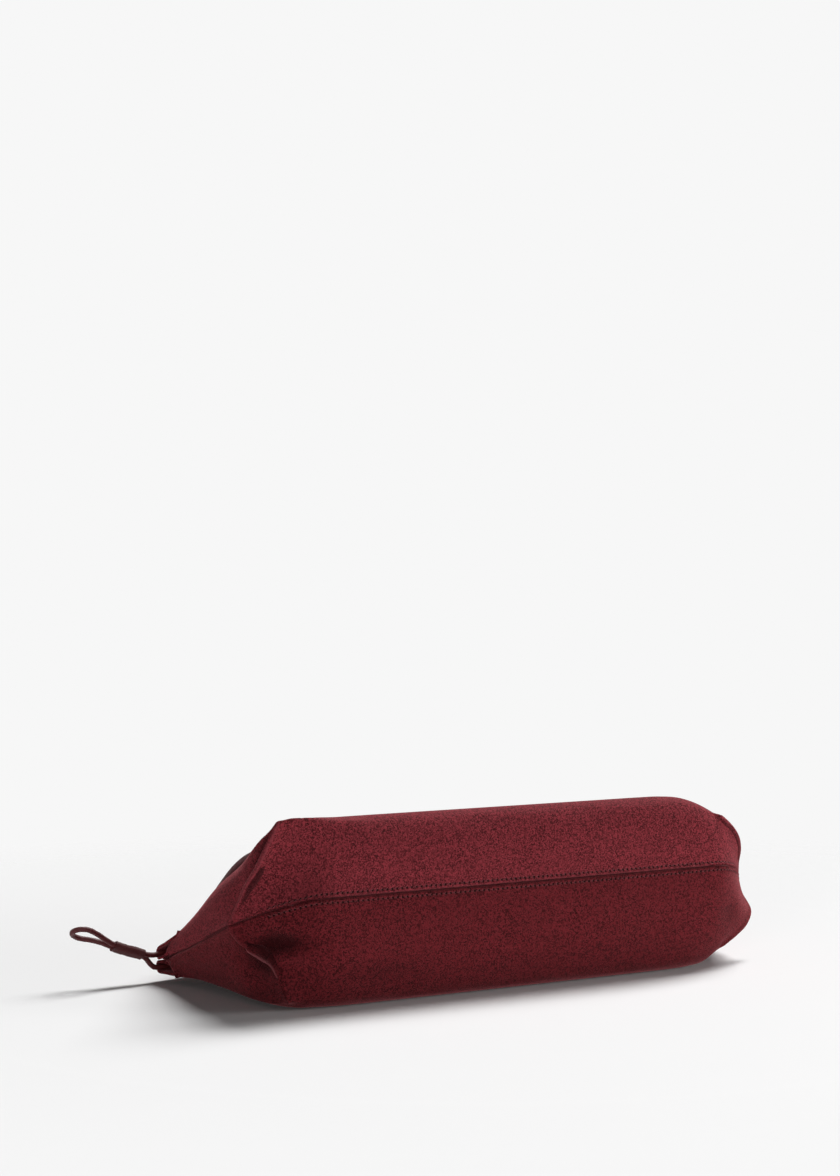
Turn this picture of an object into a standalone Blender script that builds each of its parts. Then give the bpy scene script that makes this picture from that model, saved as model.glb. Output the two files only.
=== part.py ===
"""A soft baguette bag in suede, lying on its back panel as it comes to rest.

X runs along the bag, the sewn base faces -Y, the mouth faces +Y and +Z is up. The origin is on the
flat underside, halfway between base and mouth. Two suede panels, each with half of the base and of
both end gussets, meet at a base seam and two side seams, over one sewn-in lining. Their mouth edges
are folded inward into tunnels that carry one leather drawstring, whose loop leaves the tunnels at
the left end through a wound collar. The shoulder strap is sewn in at the mouth and lies doubled
back over the front panel.
"""

import math

import bmesh
import bpy
import numpy as np
from mathutils import Vector
from mathutils.bvhtree import BVHTree

# Sizes of the bag, in metres
LENGTH = 0.314
HEIGHT = 0.125
DEPTH = 0.090
SUEDE = 0.0013
LINING = 0.0006
HEM_WIDTH = 0.019
MOUTH_GAP = 0.013
END_SOFTNESS = 0.035
END_FADE = 1.7
GUSSET_BULGE = 0.003
GUSSET_VALLEY = 0.0035
MOUTH_DROP = 0.011
MOUTH_SPREAD = 0.03
MOUTH_REACH = 0.045
SEAT_GAP = 0.0003

# Sizes of the trimmings
CORD_DIAMETER = 0.0028
TUNNEL_CLEARANCE = 0.0006
CORD_END_INSET = 0.006
LOOP_REACH = 0.0475
LOOP_WIDTH = 0.0108

LOOP_TILT = math.radians(50)
LEAVING = 0.035

COLLAR_START = 0.19
COLLAR_END = 0.53
COLLAR_WALL = 0.00045
STRAP_WIDTH = 0.016
STRAP_THICKNESS = 0.003
STRAP_ROUNDING = 0.0008
STRAP_EXIT = 0.112
STRAP_INSIDE = 0.043
STRAP_CURL_BACK = 0.010
STRAP_CURL_TOP = 0.062

# How finely the sheets and cords are divided
LENGTH_CELLS = 20
GUSSET_CELLS = 5
PANEL_ROWS = (0.0, 0.05, 0.12, 0.22, 0.36, 0.52, 0.68, 0.84, 1.0)
TURN_CELLS = 4
HEM_CELLS = 3
SMOOTHING_ROUNDS = 2
EAR_CELLS = 5
SEAT_ROUNDS = 6
TUNNEL_POINTS = 24
LOOP_POINTS = 31

STRAP_STATIONS = 72
COLLAR_STATIONS = 12
ROUND_POINTS = 6

HALF_LENGTH = LENGTH / 2
HEM_LINE = (HEIGHT - HEM_WIDTH) / HEIGHT
TURN_RADIUS = SUEDE + TUNNEL_CLEARANCE + CORD_DIAMETER / 2
HEM_THICKNESS = 2 * TURN_RADIUS
MIDDLE = Vector((0, HEIGHT / 2, 0))

# The hem's outer layer grows this share longer towards the lip, and its inner layer this share
# shorter towards its raw edge, which leaves the tunnels' ends slanted.
HEM_TIP = 0.02
HEM_NOTCH = 0.03
# Where the side seams end between the two hems, as shares of the height and the depth
SEAM_END = ((HEIGHT - HEM_THICKNESS) / HEIGHT - 0.002, (HEM_THICKNESS + SEAT_GAP) / DEPTH + 0.006)

# The boxed corners' seams, from the panel's corner to the point where all four sheets meet, as
# shares of the half length, the height and the depth.
FRONT_TEES = (
    ((-0.898, 0.024, 1.0), (-0.914, 0.04, 0.90), (-0.940, 0.08, 0.761), (-0.965, 0.144, 0.622),
     (-0.984, 0.20, 0.50), (-0.997, 0.24, 0.394)),
    ((0.80, 0.04, 0.845), (0.898, 0.08, 0.728), (0.946, 0.136, 0.622), (0.981, 0.208, 0.50),
     (1.0, 0.24, 0.422)),
)
BACK_TEES = (
    ((-0.879, 0.020, 0.05), (-0.889, 0.04, 0.12), (-0.908, 0.068, 0.20),
     (-0.955, 0.144, 0.267), (-0.984, 0.208, 0.333), (-0.997, 0.24, 0.394)),
    ((0.815, 0.035, 0.07), (0.905, 0.07, 0.133), (0.975, 0.115, 0.21), (0.994, 0.16, 0.285),
     (0.981, 0.208, 0.361), (1.0, 0.24, 0.422)),
)
# The panels' side edges, from that corner to the hem line
FRONT_EDGES = (
    ((-0.898, 0.024, 1.0), (-0.927, 0.072, 0.90), (-0.936, 0.16, 0.816), (-0.943, 0.48, 0.556),
     (-0.962, HEM_LINE, 0.244)),
    ((0.80, 0.04, 0.845), (0.86, 0.12, 0.80), (0.91, 0.30, 0.68), (0.94, 0.55, 0.48),
     (0.958, HEM_LINE, 0.244)),
)
BACK_EDGES = (
    ((-0.879, 0.020, 0.05), (-0.892, 0.096, 0.01), (-0.917, 0.24, 0.0), (-0.93, 0.48, 0.0),
     (-0.962, HEM_LINE, 0.0)),
    ((0.815, 0.035, 0.07), (0.86, 0.11, 0.02), (0.90, 0.24, 0.0), (0.93, 0.48, 0.0),
     (0.958, HEM_LINE, 0.0)),
)
SIDE_SEAMS = (
    ((-0.997, 0.24, 0.394), (-0.987, 0.40, 0.32), (-0.975, 0.60, 0.233),
     (-0.965, HEM_LINE, 0.133), (-0.965, *SEAM_END)),
    ((1.0, 0.24, 0.422), (0.987, 0.40, 0.335), (0.975, 0.60, 0.24),
     (0.962, HEM_LINE, 0.133), (0.962, *SEAM_END)),
)
# Where the gussets' mouth edges dip beneath the hems, as shares of the height and the depth
FRONT_DIP = (HEM_LINE + 0.02, 0.133)
BACK_DIP = (HEM_LINE + 0.008, 0.069)
# The bag's outline at the middle of its length, as shares of the height and the depth: the base
# from the fold to its seam, and the panel from the fold to the hem line.
FRONT_BASE = ((0, 0.03, 0.96), (0, 0.0, 0.88), (0, -0.008, 0.73), (0, 0.0, 0.556))
BACK_BASE = ((0, -0.008, 0.014), (0, -0.05, 0.11), (0, -0.044, 0.28), (0, 0.0, 0.556))
FRONT_PANEL = ((0, 0.03, 0.96), (0, 0.10, 0.99), (0, 0.2, 0.945), (0, 0.4, 0.79),
               (0, 0.6, 0.615), (0, HEM_LINE, 0.37))
BACK_PANEL = ((0, -0.008, 0.014), (0, 0.04, 0.0), (0, 0.2, 0.0), (0, 0.5, 0.0), (0, HEM_LINE, 0.0))

# The strap from the mouth to the top of its curl: shares of its exit's place along the bag, of how
# far it curls out past the mouth and of the curl's height above the hem it crosses, with how far
# the strap has turned from straight across.
STRAP_CURL = ((1.0, 0.12, 0.01, 0.0), (1.0, 0.5, 0.065, 0.0), (0.995, 1.0, 0.22, 0.0),
              (0.985, 0.9, 0.42, 0.03), (0.965, -0.15, 0.66, 0.08), (0.94, -1.1, 0.833, 0.14),
              (0.92, -2.1, 0.944, 0.20), (0.905, -3.1, 1.0, 0.27))
# The strap from there to the middle of the bag: shares of the exit's place, of the bag's height and
# depth, with how far the strap has turned. The panel beneath lifts it where it comes lower.
STRAP_REST = ((0.875, 0.664, 0.672, 0.40), (0.83, 0.576, 0.645, 0.60), (0.741, 0.472, 0.735, 0.85),
              (0.59, 0.392, 0.81, 1.10), (0.375, 0.336, 0.85, 1.35), (0.0, 0.308, 0.875, math.pi / 2))
# How far the loop's axis rises, as shares of its reach
LOOP_RISE = ((0, 0.0), (0.19, 0.08), (0.53, 0.205), (0.66, 0.275), (0.80, 0.34), (1.0, 0.395))
# How wide the loop is past the collar, as shares of that stretch and of the half width
LOOP_SHAPE = ((0.24, 0.70), (0.50, 0.98), (0.76, 0.88), (0.93, 0.5), (1.0, 0.0))


def curve(shares, steps):
    """Points of a smooth curve through places given as shares of the bag's size."""
    knots = np.array(shares, float) * (HALF_LENGTH, HEIGHT, DEPTH)
    return through(knots, steps)


def through(knots, steps):
    """Points at those shares of the way along a smooth curve through the knots."""
    knots = np.array(knots, float)
    strides = np.linalg.norm(np.diff(knots[:, :3], axis=0), axis=1)
    run = np.concatenate([[0], np.cumsum(strides)])
    slopes = np.gradient(knots, run, axis=0)
    at = np.asarray(steps, float) * run[-1]
    cell = np.clip(np.searchsorted(run, at, side="right") - 1, 0, len(run) - 2)
    width = (run[cell + 1] - run[cell])[:, None]
    t = (at - run[cell])[:, None] / width
    start, end = knots[cell], knots[cell + 1]
    rise = start * (1 + 2 * t) * (1 - t) ** 2 + end * t * t * (3 - 2 * t)
    return rise + width * (slopes[cell] * t * (1 - t) ** 2 - slopes[cell + 1] * t * t * (1 - t))


def along_length():
    """Places along the bag from 0 to 1, closer together near its ends."""
    even = np.linspace(0, 1, LENGTH_CELLS + 1)
    return (even + (1 - np.cos(math.pi * even)) / 2) / 2


def lengthwise(ends, middle):
    """A sheet between its two end curves, which settles to the middle outline near each end."""
    left, right = ends
    rows = []
    for a, b, m in zip(left, right, middle):
        x = a[0] + (b[0] - a[0]) * along_length()
        near_left = np.clip(1 - (x - a[0]) / END_SOFTNESS, 0, 1)[:, None] ** END_FADE
        near_right = np.clip(1 - (b[0] - x) / END_SOFTNESS, 0, 1)[:, None] ** END_FADE
        row = m + (a - m) * near_left + (b - m) * near_right
        row[:, 0] = x
        rows.append(row)
    return np.array(rows)


def gusset(tee, edge, seam, dip, outward):
    """Half an end, filled in between its boxed seam, the panel's side edge and the side seam."""
    t = np.array(PANEL_ROWS)[:, None, None]
    w = np.linspace(0, 1, GUSSET_CELLS + 1)[None, :, None]
    low = np.array((edge[-1][0], dip[0] * HEIGHT, dip[1] * DEPTH))
    top = edge[-1] * (1 - w[0]) ** 2 + low * 2 * w[0] * (1 - w[0]) + seam[-1] * w[0] ** 2
    ruled = (1 - t) * tee + t * top + (1 - w) * edge[:, None] + w * seam[:, None]
    corners = (1 - t) * ((1 - w) * tee[0] + w * tee[-1]) + t * ((1 - w) * edge[-1] + w * seam[-1])
    across = np.sin(math.pi * w)
    valley = GUSSET_VALLEY * np.exp(-(((t - 0.1) / 0.07) ** 2))
    swell = GUSSET_BULGE * np.sin(math.pi * t) - valley
    sheet = ruled - corners
    sheet[..., 0] += (outward * across * swell * (t > 0))[..., 0]
    return sheet


def hem(line, sign):
    """The mouth edge folded inward round the cord, from the hem line to the lip and back."""
    share = np.abs(line[:, 0]) / np.abs(line[:, 0]).max()
    gap = SEAT_GAP + (MOUTH_GAP - SEAT_GAP) * (1 - share**2)
    centre = line.copy()
    centre[:, 1] = HEIGHT - TURN_RADIUS
    centre[:, 2] = HEM_THICKNESS + gap + TURN_RADIUS if sign > 0 else TURN_RADIUS
    reach = centre - line
    reach[:, 0] = 0
    distance = np.linalg.norm(reach, axis=1)
    heading = np.arctan2(reach[:, 2], reach[:, 1]) + np.arcsin(TURN_RADIUS / distance) * sign
    out = np.stack([0 * heading, np.cos(heading), np.sin(heading)], 1)
    normal = np.stack([0 * heading, -np.sin(heading), np.cos(heading)], 1) * sign
    straight = np.sqrt(distance**2 - TURN_RADIUS**2)[:, None]
    centre[:, 0] *= 1 + HEM_TIP
    rows = []
    for k in range(1, HEM_CELLS + 1):
        row = line + out * straight * k / HEM_CELLS
        row[:, 0] *= 1 + HEM_TIP * k / HEM_CELLS
        rows.append(row)
    for k in range(1, TURN_CELLS + 1):
        angle = math.pi * k / TURN_CELLS
        rows.append(centre + TURN_RADIUS * (normal * math.cos(angle) + out * math.sin(angle)))
    flat = 2 * SUEDE + SEAT_GAP
    for k in range(HEM_CELLS - 1, -1, -1):
        depth = flat + (HEM_THICKNESS - flat) * math.sin(math.pi / 2 * k / HEM_CELLS)
        row = line + out * straight * k / HEM_CELLS - normal * depth
        row[:, 0] *= 1 - HEM_NOTCH + (HEM_TIP + HEM_NOTCH) * k / HEM_CELLS
        rows.append(row)
    return np.array(rows), centre


def ease(share):
    """A smooth step from 0 to 1."""
    share = np.clip(share, 0, 1)
    return share * share * (3 - 2 * share)


def draw_in(points):
    """Draws the mouth's ends in towards the base and a little apart, in place."""
    ends = ease((np.abs(points[..., 0]) - HALF_LENGTH + MOUTH_REACH) / MOUTH_REACH)
    pull = ends * ease(1.5 * points[..., 1] / HEIGHT - 0.5)
    points[..., 1] -= MOUTH_DROP * pull
    points[..., 0] *= 1 + MOUTH_SPREAD * pull


def half_blocks(tees, edges, base, panel, dip, sign):
    """The grids of one half of the bag: its base, its panel and its two half gussets."""
    shares = np.linspace(0, 1, GUSSET_CELLS + 1)
    tee = [curve(t, shares) for t in tees]
    edge = [curve(e, PANEL_ROWS) for e in edges]
    seam = [curve(s, PANEL_ROWS) for s in SIDE_SEAMS]
    flap = lengthwise(tee, curve(base, shares))
    face = lengthwise(edge, curve(panel, PANEL_ROWS))
    ends = [gusset(tee[k], edge[k], seam[k], dip, (-1, 1)[k]) for k in range(2)]
    for grid in (flap, face, *ends):
        grid[..., 2] = np.maximum(grid[..., 2], 0)
    fold, cord = hem(face[-1], sign)
    fold = np.concatenate([face[-1:], fold])
    cord[:, 2] -= TUNNEL_CLEARANCE - SEAT_GAP
    for grid in (flap, face, *ends, fold, cord):
        draw_in(grid)
    return {"flap": flap, "face": face, "left": ends[0], "right": ends[1], "hem": fold,
            "cord": cord}


def add_grid(bm, grid, half, flip):
    """Adds a grid of points to the mesh as faces of that half."""
    rows = [[bm.verts.new(p) for p in row] for row in grid]
    for a, b in zip(rows[:-1], rows[1:]):
        for k in range(len(a) - 1):
            corners = [a[k], a[k + 1], b[k + 1], b[k]]
            face = bm.faces.new(corners[::-1] if flip else corners)
            face.material_index = half


def held_places(front, back):
    """The points smoothing leaves: all seams, the hem lines and the fold beside the left ear."""
    places = []
    places += [*front["face"][0, :EAR_CELLS]]
    for blocks in (front, back):
        flap = blocks["flap"]
        places += [*flap[-1], *flap[:, 0], *flap[:, -1], *blocks["face"][-1]]
        for end in (blocks["left"], blocks["right"]):
            places += [*end[0], *end[-1], *end[:, -1]]
    return {tuple(np.round(p, 6)) for p in places}


def bag_surface(front, back):
    """Both halves as one open surface, joined at the base seam and the side seams and smoothed."""
    bm = bmesh.new()
    for half, blocks in enumerate((front, back)):
        turned = half == 1
        add_grid(bm, blocks["flap"], half, not turned)
        add_grid(bm, blocks["face"], half, turned)
        add_grid(bm, blocks["left"], half, not turned)
        add_grid(bm, blocks["right"], half, turned)
    bmesh.ops.remove_doubles(bm, verts=bm.verts, dist=1e-6)
    held = held_places(front, back)
    free = [v for v in bm.verts if tuple(np.round(v.co, 6)) not in held]
    flat = [v for v in bm.verts
            if v.co.z == 0 and all(e.other_vert(v).co.z == 0 for e in v.link_edges)]
    for _ in range(SMOOTHING_ROUNDS):
        bmesh.ops.smooth_vert(bm, verts=free, factor=0.5, use_axis_x=True, use_axis_y=True,
                              use_axis_z=True)
        for v in flat:
            v.co.z = 0
    for half, blocks in enumerate((front, back)):
        add_grid(bm, blocks["hem"], half + 2, half == 1)
    bmesh.ops.remove_doubles(bm, verts=bm.verts, dist=1e-6)
    bmesh.ops.triangulate(bm, faces=bm.faces)
    bm.normal_update()
    bm.verts.index_update()
    return bm


def shell(name, bm, materials, outer, inner, seam_shift=0.0, rim_inset=0.0):
    """A closed sheet made of the faces with those materials, between two depths in the surface."""
    faces = [f for f in bm.faces if f.material_index in materials]
    verts = sorted({v for f in faces for v in f.verts}, key=lambda v: v.index)
    place = {v: k for k, v in enumerate(verts)}
    points = []
    for depth in (outer, inner):
        for v in verts:
            point = v.co - v.normal * depth - MIDDLE
            if len({f.material_index % 2 for f in v.link_faces}) > 1:
                point.z += seam_shift
            points.append(point + rim_step(v, rim_inset))
    count = len(verts)
    out = [[place[v] for v in f.verts] for f in faces]
    back = [[count + k for k in reversed(f)] for f in out]
    rim = []
    for face in faces:
        for loop in face.loops:
            if sum(f.material_index in materials for f in loop.edge.link_faces) == 1:
                a, b = place[loop.vert], place[loop.link_loop_next.vert]
                rim.append([b, a, count + a, count + b])
    return add_mesh(name, points, out + back + rim)


def rim_step(vert, inset):
    """How far a point on the hem line moves back from it along the surface."""
    if not inset or all(f.material_index < 2 for f in vert.link_faces):
        return Vector()
    for edge in vert.link_edges:
        other = edge.other_vert(vert)
        if all(f.material_index < 2 for f in other.link_faces):
            return (other.co - vert.co).normalized() * inset
    return Vector()


def add_mesh(name, points, faces):
    """A new object in the bag's collection from points and faces."""
    mesh = bpy.data.meshes.new(name)
    mesh.from_pydata([tuple(p) for p in points], [], faces)
    mesh.shade_smooth()
    mesh.set_sharp_from_angle(angle=math.radians(40))
    obj = bpy.data.objects.new(name, mesh)
    bag.objects.link(obj)
    return obj


def material(obj, colour, roughness, sheen=0.0):
    """Gives an object its own plain material."""
    mat = bpy.data.materials.new(obj.name)
    mat.use_nodes = True
    shader = mat.node_tree.nodes["Principled BSDF"]
    shader.inputs["Base Color"].default_value = (*colour, 1)
    shader.inputs["Roughness"].default_value = roughness
    shader.inputs["Metallic"].default_value = 0
    shader.inputs["Sheen Weight"].default_value = sheen
    obj.data.materials.append(mat)


def loop_axis(first, final, shares):
    """Points midway between the loop's two strands, at shares of its reach from the tunnels."""
    start = (first + final) / 2
    knots = [start + LOOP_REACH * np.array((-along, 0, rise)) for along, rise in LOOP_RISE]
    return through(knots, shares)


def strand_spacing():
    """Half the distance between the strands' centres where they lie side by side."""
    return (CORD_DIAMETER + SEAT_GAP) / 2


def across_loop():
    """The direction from the loop's axis to its upper strand."""
    return np.array((0, -math.sin(LOOP_TILT), math.cos(LOOP_TILT)))


def cord_route(upper, lower):
    """The drawstring's line: the front tunnel, the loop with its two strands, the back tunnel."""
    last = upper[-1][0] - CORD_END_INSET
    upper = upper[upper[:, 0] < last][::-1]
    lower = lower[lower[:, 0] < last]
    side_by_side = strand_spacing()
    held = np.linspace(COLLAR_START - LEAVING / 2, COLLAR_END + LEAVING / 2, 5)
    shares = [(s, side_by_side) for s in held]
    shares += [(COLLAR_END + (1 - COLLAR_END) * s, w * LOOP_WIDTH / 2) for s, w in LOOP_SHAPE]
    centres = loop_axis(upper[-1], lower[0], [s for s, _ in shares])
    going = [c + across_loop() * w for c, (_, w) in zip(centres, shares)]
    coming = [c - across_loop() * w for c, (_, w) in zip(centres, shares)]
    straight = LOOP_REACH * LEAVING
    out = upper[-1] + straight * (upper[-1] - upper[-2]) / np.linalg.norm(upper[-1] - upper[-2])
    back = lower[0] + np.array((-straight, 0, 0))
    return np.array([*upper, out, *going, *coming[-2::-1], back, *lower])


def cord_shares(knots, loop_from):
    """Shares of the way along the cord, closer together round its loop than in its tunnels."""
    run = np.concatenate([[0], np.cumsum(np.linalg.norm(np.diff(knots, axis=0), axis=1))])
    loop = run[knots[:, 0] < loop_from]
    marks = [*np.linspace(0, loop[0], TUNNEL_POINTS, endpoint=False),
             *np.linspace(loop[0], loop[-1], LOOP_POINTS, endpoint=False),
             *np.linspace(loop[-1], run[-1], TUNNEL_POINTS)]
    return np.array(marks) / run[-1]


def tube(name, knots, diameter, shares):
    """A round cord along a smooth curve through the knots."""
    data = bpy.data.curves.new(name, "CURVE")
    data.dimensions = "3D"
    data.bevel_depth = diameter / 2
    data.bevel_resolution = 2
    data.use_fill_caps = True
    points = through(knots, shares) - np.array(MIDDLE)
    spline = data.splines.new("POLY")
    spline.points.add(len(points) - 1)
    for point, place in zip(spline.points, points):
        point.co = (*place, 1)
    obj = bpy.data.objects.new(name, data)
    bag.objects.link(obj)
    return obj


def slot_outline(half_straight, radius):
    """A rounded slot's outline: two half circles, a straight half-distance from the middle."""
    turn = [math.pi * k / ROUND_POINTS for k in range(ROUND_POINTS + 1)]
    near = [(half_straight + radius * math.sin(a), -radius * math.cos(a)) for a in turn]
    return near + [(-x, -y) for x, y in near]


def strip_outline():
    """The strap's cross-section: a flat bar with rounded edges."""
    half, thick, r = STRAP_WIDTH / 2, STRAP_THICKNESS / 2, STRAP_ROUNDING
    corner = ((half - r, -thick), (half, r - thick), (half, thick - r), (half - r, thick))
    return [*corner, *((-x, -y) for x, y in corner)]


def sweep(centres, wides, normals, outline):
    """Rings of points: one outline placed across each centre."""
    return [[c + w * x + n * y for x, y in outline] for c, w, n in zip(centres, wides, normals)]


def ring_faces(first, second, count):
    """The faces between two rings whose points start at those numbers."""
    return [[first + k, first + (k + 1) % count, second + (k + 1) % count, second + k]
            for k in range(count)]


def solid_strip(name, rings):
    """A closed bar through rings of points, with flat ends."""
    count = len(rings[0])
    points = [p for ring in rings for p in ring]
    faces = [f for k in range(len(rings) - 1)
             for f in ring_faces(k * count, (k + 1) * count, count)]
    last = (len(rings) - 1) * count
    faces += [list(range(count))[::-1], list(range(last, last + count))]
    return add_mesh(name, [Vector(p) - MIDDLE for p in points], faces)


def sleeve(name, inner, outer):
    """A closed tube wall between two sets of rings of points."""
    count, stations = len(inner[0]), len(inner)
    points = [p for ring in outer + inner for p in ring]
    inside = stations * count
    faces = []
    for k in range(stations - 1):
        faces += ring_faces(k * count, (k + 1) * count, count)
        faces += [f[::-1] for f in ring_faces(inside + k * count, inside + (k + 1) * count, count)]
    last = (stations - 1) * count
    faces += ring_faces(inside, 0, count) + ring_faces(last, inside + last, count)
    return add_mesh(name, [Vector(p) - MIDDLE for p in points], faces)


def collar_rings(first, final):
    """The collar's inner and outer rings round both strands of the cord."""
    shares = np.linspace(COLLAR_START, COLLAR_END, COLLAR_STATIONS)
    centres = loop_axis(first, final, shares)
    along = np.gradient(centres, axis=0)
    along /= np.linalg.norm(along, axis=1)[:, None]
    wides = np.array([across_loop()] * len(centres))
    wides -= along * (wides * along).sum(1)[:, None]
    wides /= np.linalg.norm(wides, axis=1)[:, None]
    normals = np.cross(along, wides)
    bore = CORD_DIAMETER / 2 + SEAT_GAP

    return [sweep(centres, wides, normals, slot_outline(strand_spacing(), r))
            for r in (bore, bore + COLLAR_WALL)]


def strap_knots():
    """The strap's places, with how far it has turned, from its left end to its right end."""
    on_lining = SUEDE + LINING + 3 * SEAT_GAP + STRAP_THICKNESS / 2
    on_hem = HEM_THICKNESS + 2 * SEAT_GAP + STRAP_THICKNESS / 2
    half = [(-STRAP_EXIT, HEIGHT - STRAP_INSIDE * s, on_lining, 0.0) for s in (1, 0.8, 0.6)]
    half += [(-STRAP_EXIT, HEIGHT - 0.8 * HEM_WIDTH, (on_lining + 3 * on_hem) / 4, 0.0),
             (-STRAP_EXIT, HEIGHT - TURN_RADIUS, on_hem, 0.0)]
    half += [(-x * STRAP_EXIT, HEIGHT + y * STRAP_CURL_BACK,
              on_hem + z * (STRAP_CURL_TOP - on_hem), turn) for x, y, z, turn in STRAP_CURL]
    half += [(-x * STRAP_EXIT, y * HEIGHT, z * DEPTH, turn) for x, y, z, turn in STRAP_REST]

    mirrored = [(-x, y, z, math.pi - turn) for x, y, z, turn in half[-2::-1]]
    return np.array(half + mirrored)


def height_on(tree, x, y, miss):
    """How high the panel is above a place, in the bag's own sizes before the move to its origin."""
    hit = tree.ray_cast(Vector((x, y - MIDDLE.y, 2 * DEPTH)), Vector((0, 0, -1)))[0]
    return hit.z if hit else miss


def seat(tree, place, turn):
    """The height and the slope across that the strap needs to clear the panel at a place."""
    x, y, z = place
    flat = np.array((math.cos(turn), math.sin(turn)))
    offsets = [STRAP_WIDTH / 2 * s for s in (-1, -0.5, 0, 0.5, 1)]
    heights = [height_on(tree, x + flat[0] * s, y + flat[1] * s, 0) for s in offsets]
    slope = (heights[-1] - heights[0]) / STRAP_WIDTH
    level = max(h - s * slope for h, s in zip(heights, offsets))
    lift = (STRAP_THICKNESS / 2 + SEAT_GAP) * math.sqrt(1 + 2 * slope**2)
    return level + lift, slope


def strap_rings(panel):
    """The strap's rings: free where it curls over the mouth, resting where it meets the panel."""
    mesh = panel.data
    tree = BVHTree.FromPolygons([v.co for v in mesh.vertices], [p.vertices for p in mesh.polygons])
    route = through(strap_knots(), np.linspace(0, 1, STRAP_STATIONS))
    curl = np.abs(np.linspace(-1, 1, STRAP_STATIONS)) < np.abs(turning_share())
    slopes = np.zeros(len(route))
    for _ in range(SEAT_ROUNDS):
        for k in np.flatnonzero(curl):
            need, slope = seat(tree, route[k, :3], route[k, 3])
            rest = np.clip(1 - (route[k, 2] - need) / STRAP_THICKNESS, 0, 1)
            slopes[k] = slope * rest
            route[k, 2] = max(route[k, 2], need)
        smooth = (route[:-2, 2] + 2 * route[1:-1, 2] + route[2:, 2]) / 4
        route[1:-1, 2] = np.where(curl[1:-1], np.maximum(smooth, route[1:-1, 2]), route[1:-1, 2])
    along = np.gradient(route[:, :3], axis=0)
    along /= np.linalg.norm(along, axis=1)[:, None]
    wides = np.stack([np.cos(route[:, 3]), np.sin(route[:, 3]), slopes], 1)
    wides -= along * (wides * along).sum(1)[:, None]
    wides /= np.linalg.norm(wides, axis=1)[:, None]
    return sweep(route[:, :3], wides, np.cross(along, wides), strip_outline())


def turning_share():
    """Which share of the strap, from its middle, lies past the furthest point of its curl."""
    knots = strap_knots()
    strides = np.linalg.norm(np.diff(knots[:, :3], axis=0), axis=1)
    run = np.concatenate([[0], np.cumsum(strides)])
    return 1 - 2 * run[np.argmax(knots[: len(knots) // 2, 1])] / run[-1]


for old in list(bpy.data.objects):
    bpy.data.objects.remove(old)
bag = bpy.data.collections.new("baguette_bag")
bpy.context.scene.collection.children.link(bag)

front = half_blocks(FRONT_TEES, FRONT_EDGES, FRONT_BASE, FRONT_PANEL, FRONT_DIP, 1)
back = half_blocks(BACK_TEES, BACK_EDGES, BACK_BASE, BACK_PANEL, BACK_DIP, -1)
surface = bag_surface(front, back)
front_panel = shell("front_panel", surface, (0, 2), 0, SUEDE, SEAT_GAP / 2)
back_panel = shell("back_panel", surface, (1, 3), 0, SUEDE, -SEAT_GAP / 2)
lining_depth = SUEDE + SEAT_GAP
lining = shell("lining", surface, (0, 1), lining_depth, lining_depth + LINING,
               rim_inset=2 * SEAT_GAP)
route = cord_route(front["cord"], back["cord"])
tunnels_end = front["cord"][0][0] + 4 * CORD_DIAMETER
cord = tube("drawstring", route, CORD_DIAMETER, cord_shares(route, tunnels_end))
collar = sleeve("loop_collar", *collar_rings(front["cord"][0], back["cord"][0]))
strap = solid_strip("shoulder_strap", strap_rings(front_panel))

material(front_panel, (0.15, 0.022, 0.028), 0.95, 0.4)
material(back_panel, (0.14, 0.020, 0.026), 0.95, 0.4)
material(lining, (0.10, 0.018, 0.022), 0.85)
material(cord, (0.075, 0.014, 0.017), 0.45)
material(collar, (0.065, 0.012, 0.015), 0.5)
material(strap, (0.085, 0.016, 0.020), 0.45)
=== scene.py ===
"""A soft suede baguette bag, lying on its back panel on a pale studio floor.

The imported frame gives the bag's one body and its plain solids. This script cuts the same bag again
as fine sheets, with rolled seams, hollows and topstitching, lays its drawstring, collar and strap,
and adds the finishes, the camera and the studio. Lengths are in metres, in the frame's own axes:
X along the bag, the sewn base towards -Y, the mouth towards +Y and +Z up.
"""

import logging
import math
from dataclasses import dataclass, field
from enum import Enum
from typing import Sequence

import bpy
import numpy as np
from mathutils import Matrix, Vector
from mathutils.bvhtree import BVHTree


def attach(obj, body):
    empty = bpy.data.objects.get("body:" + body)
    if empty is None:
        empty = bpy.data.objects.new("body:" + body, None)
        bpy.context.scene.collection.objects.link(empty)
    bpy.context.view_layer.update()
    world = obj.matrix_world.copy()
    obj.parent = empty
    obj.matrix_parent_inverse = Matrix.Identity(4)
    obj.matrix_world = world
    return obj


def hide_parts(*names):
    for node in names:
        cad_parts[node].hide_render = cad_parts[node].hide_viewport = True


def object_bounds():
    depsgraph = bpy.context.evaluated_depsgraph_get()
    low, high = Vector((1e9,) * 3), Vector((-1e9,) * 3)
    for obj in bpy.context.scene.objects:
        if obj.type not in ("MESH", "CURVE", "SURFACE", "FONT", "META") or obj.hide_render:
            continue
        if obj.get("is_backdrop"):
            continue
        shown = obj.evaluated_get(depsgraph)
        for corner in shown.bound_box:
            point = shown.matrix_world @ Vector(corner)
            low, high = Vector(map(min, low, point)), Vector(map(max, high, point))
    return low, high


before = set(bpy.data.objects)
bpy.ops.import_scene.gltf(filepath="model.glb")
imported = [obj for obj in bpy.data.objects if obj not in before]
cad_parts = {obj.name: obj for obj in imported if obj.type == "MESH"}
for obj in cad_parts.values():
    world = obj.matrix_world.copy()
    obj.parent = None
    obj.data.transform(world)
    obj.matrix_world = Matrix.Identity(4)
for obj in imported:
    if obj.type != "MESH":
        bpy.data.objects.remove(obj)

log = logging.getLogger("baguette_bag")

Points = np.ndarray
Socket = bpy.types.NodeSocket

BODY = "root"
BACKGROUND = (0.93, 0.93, 0.93, 1.0)
TIGHTNESS = 1.8


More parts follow.
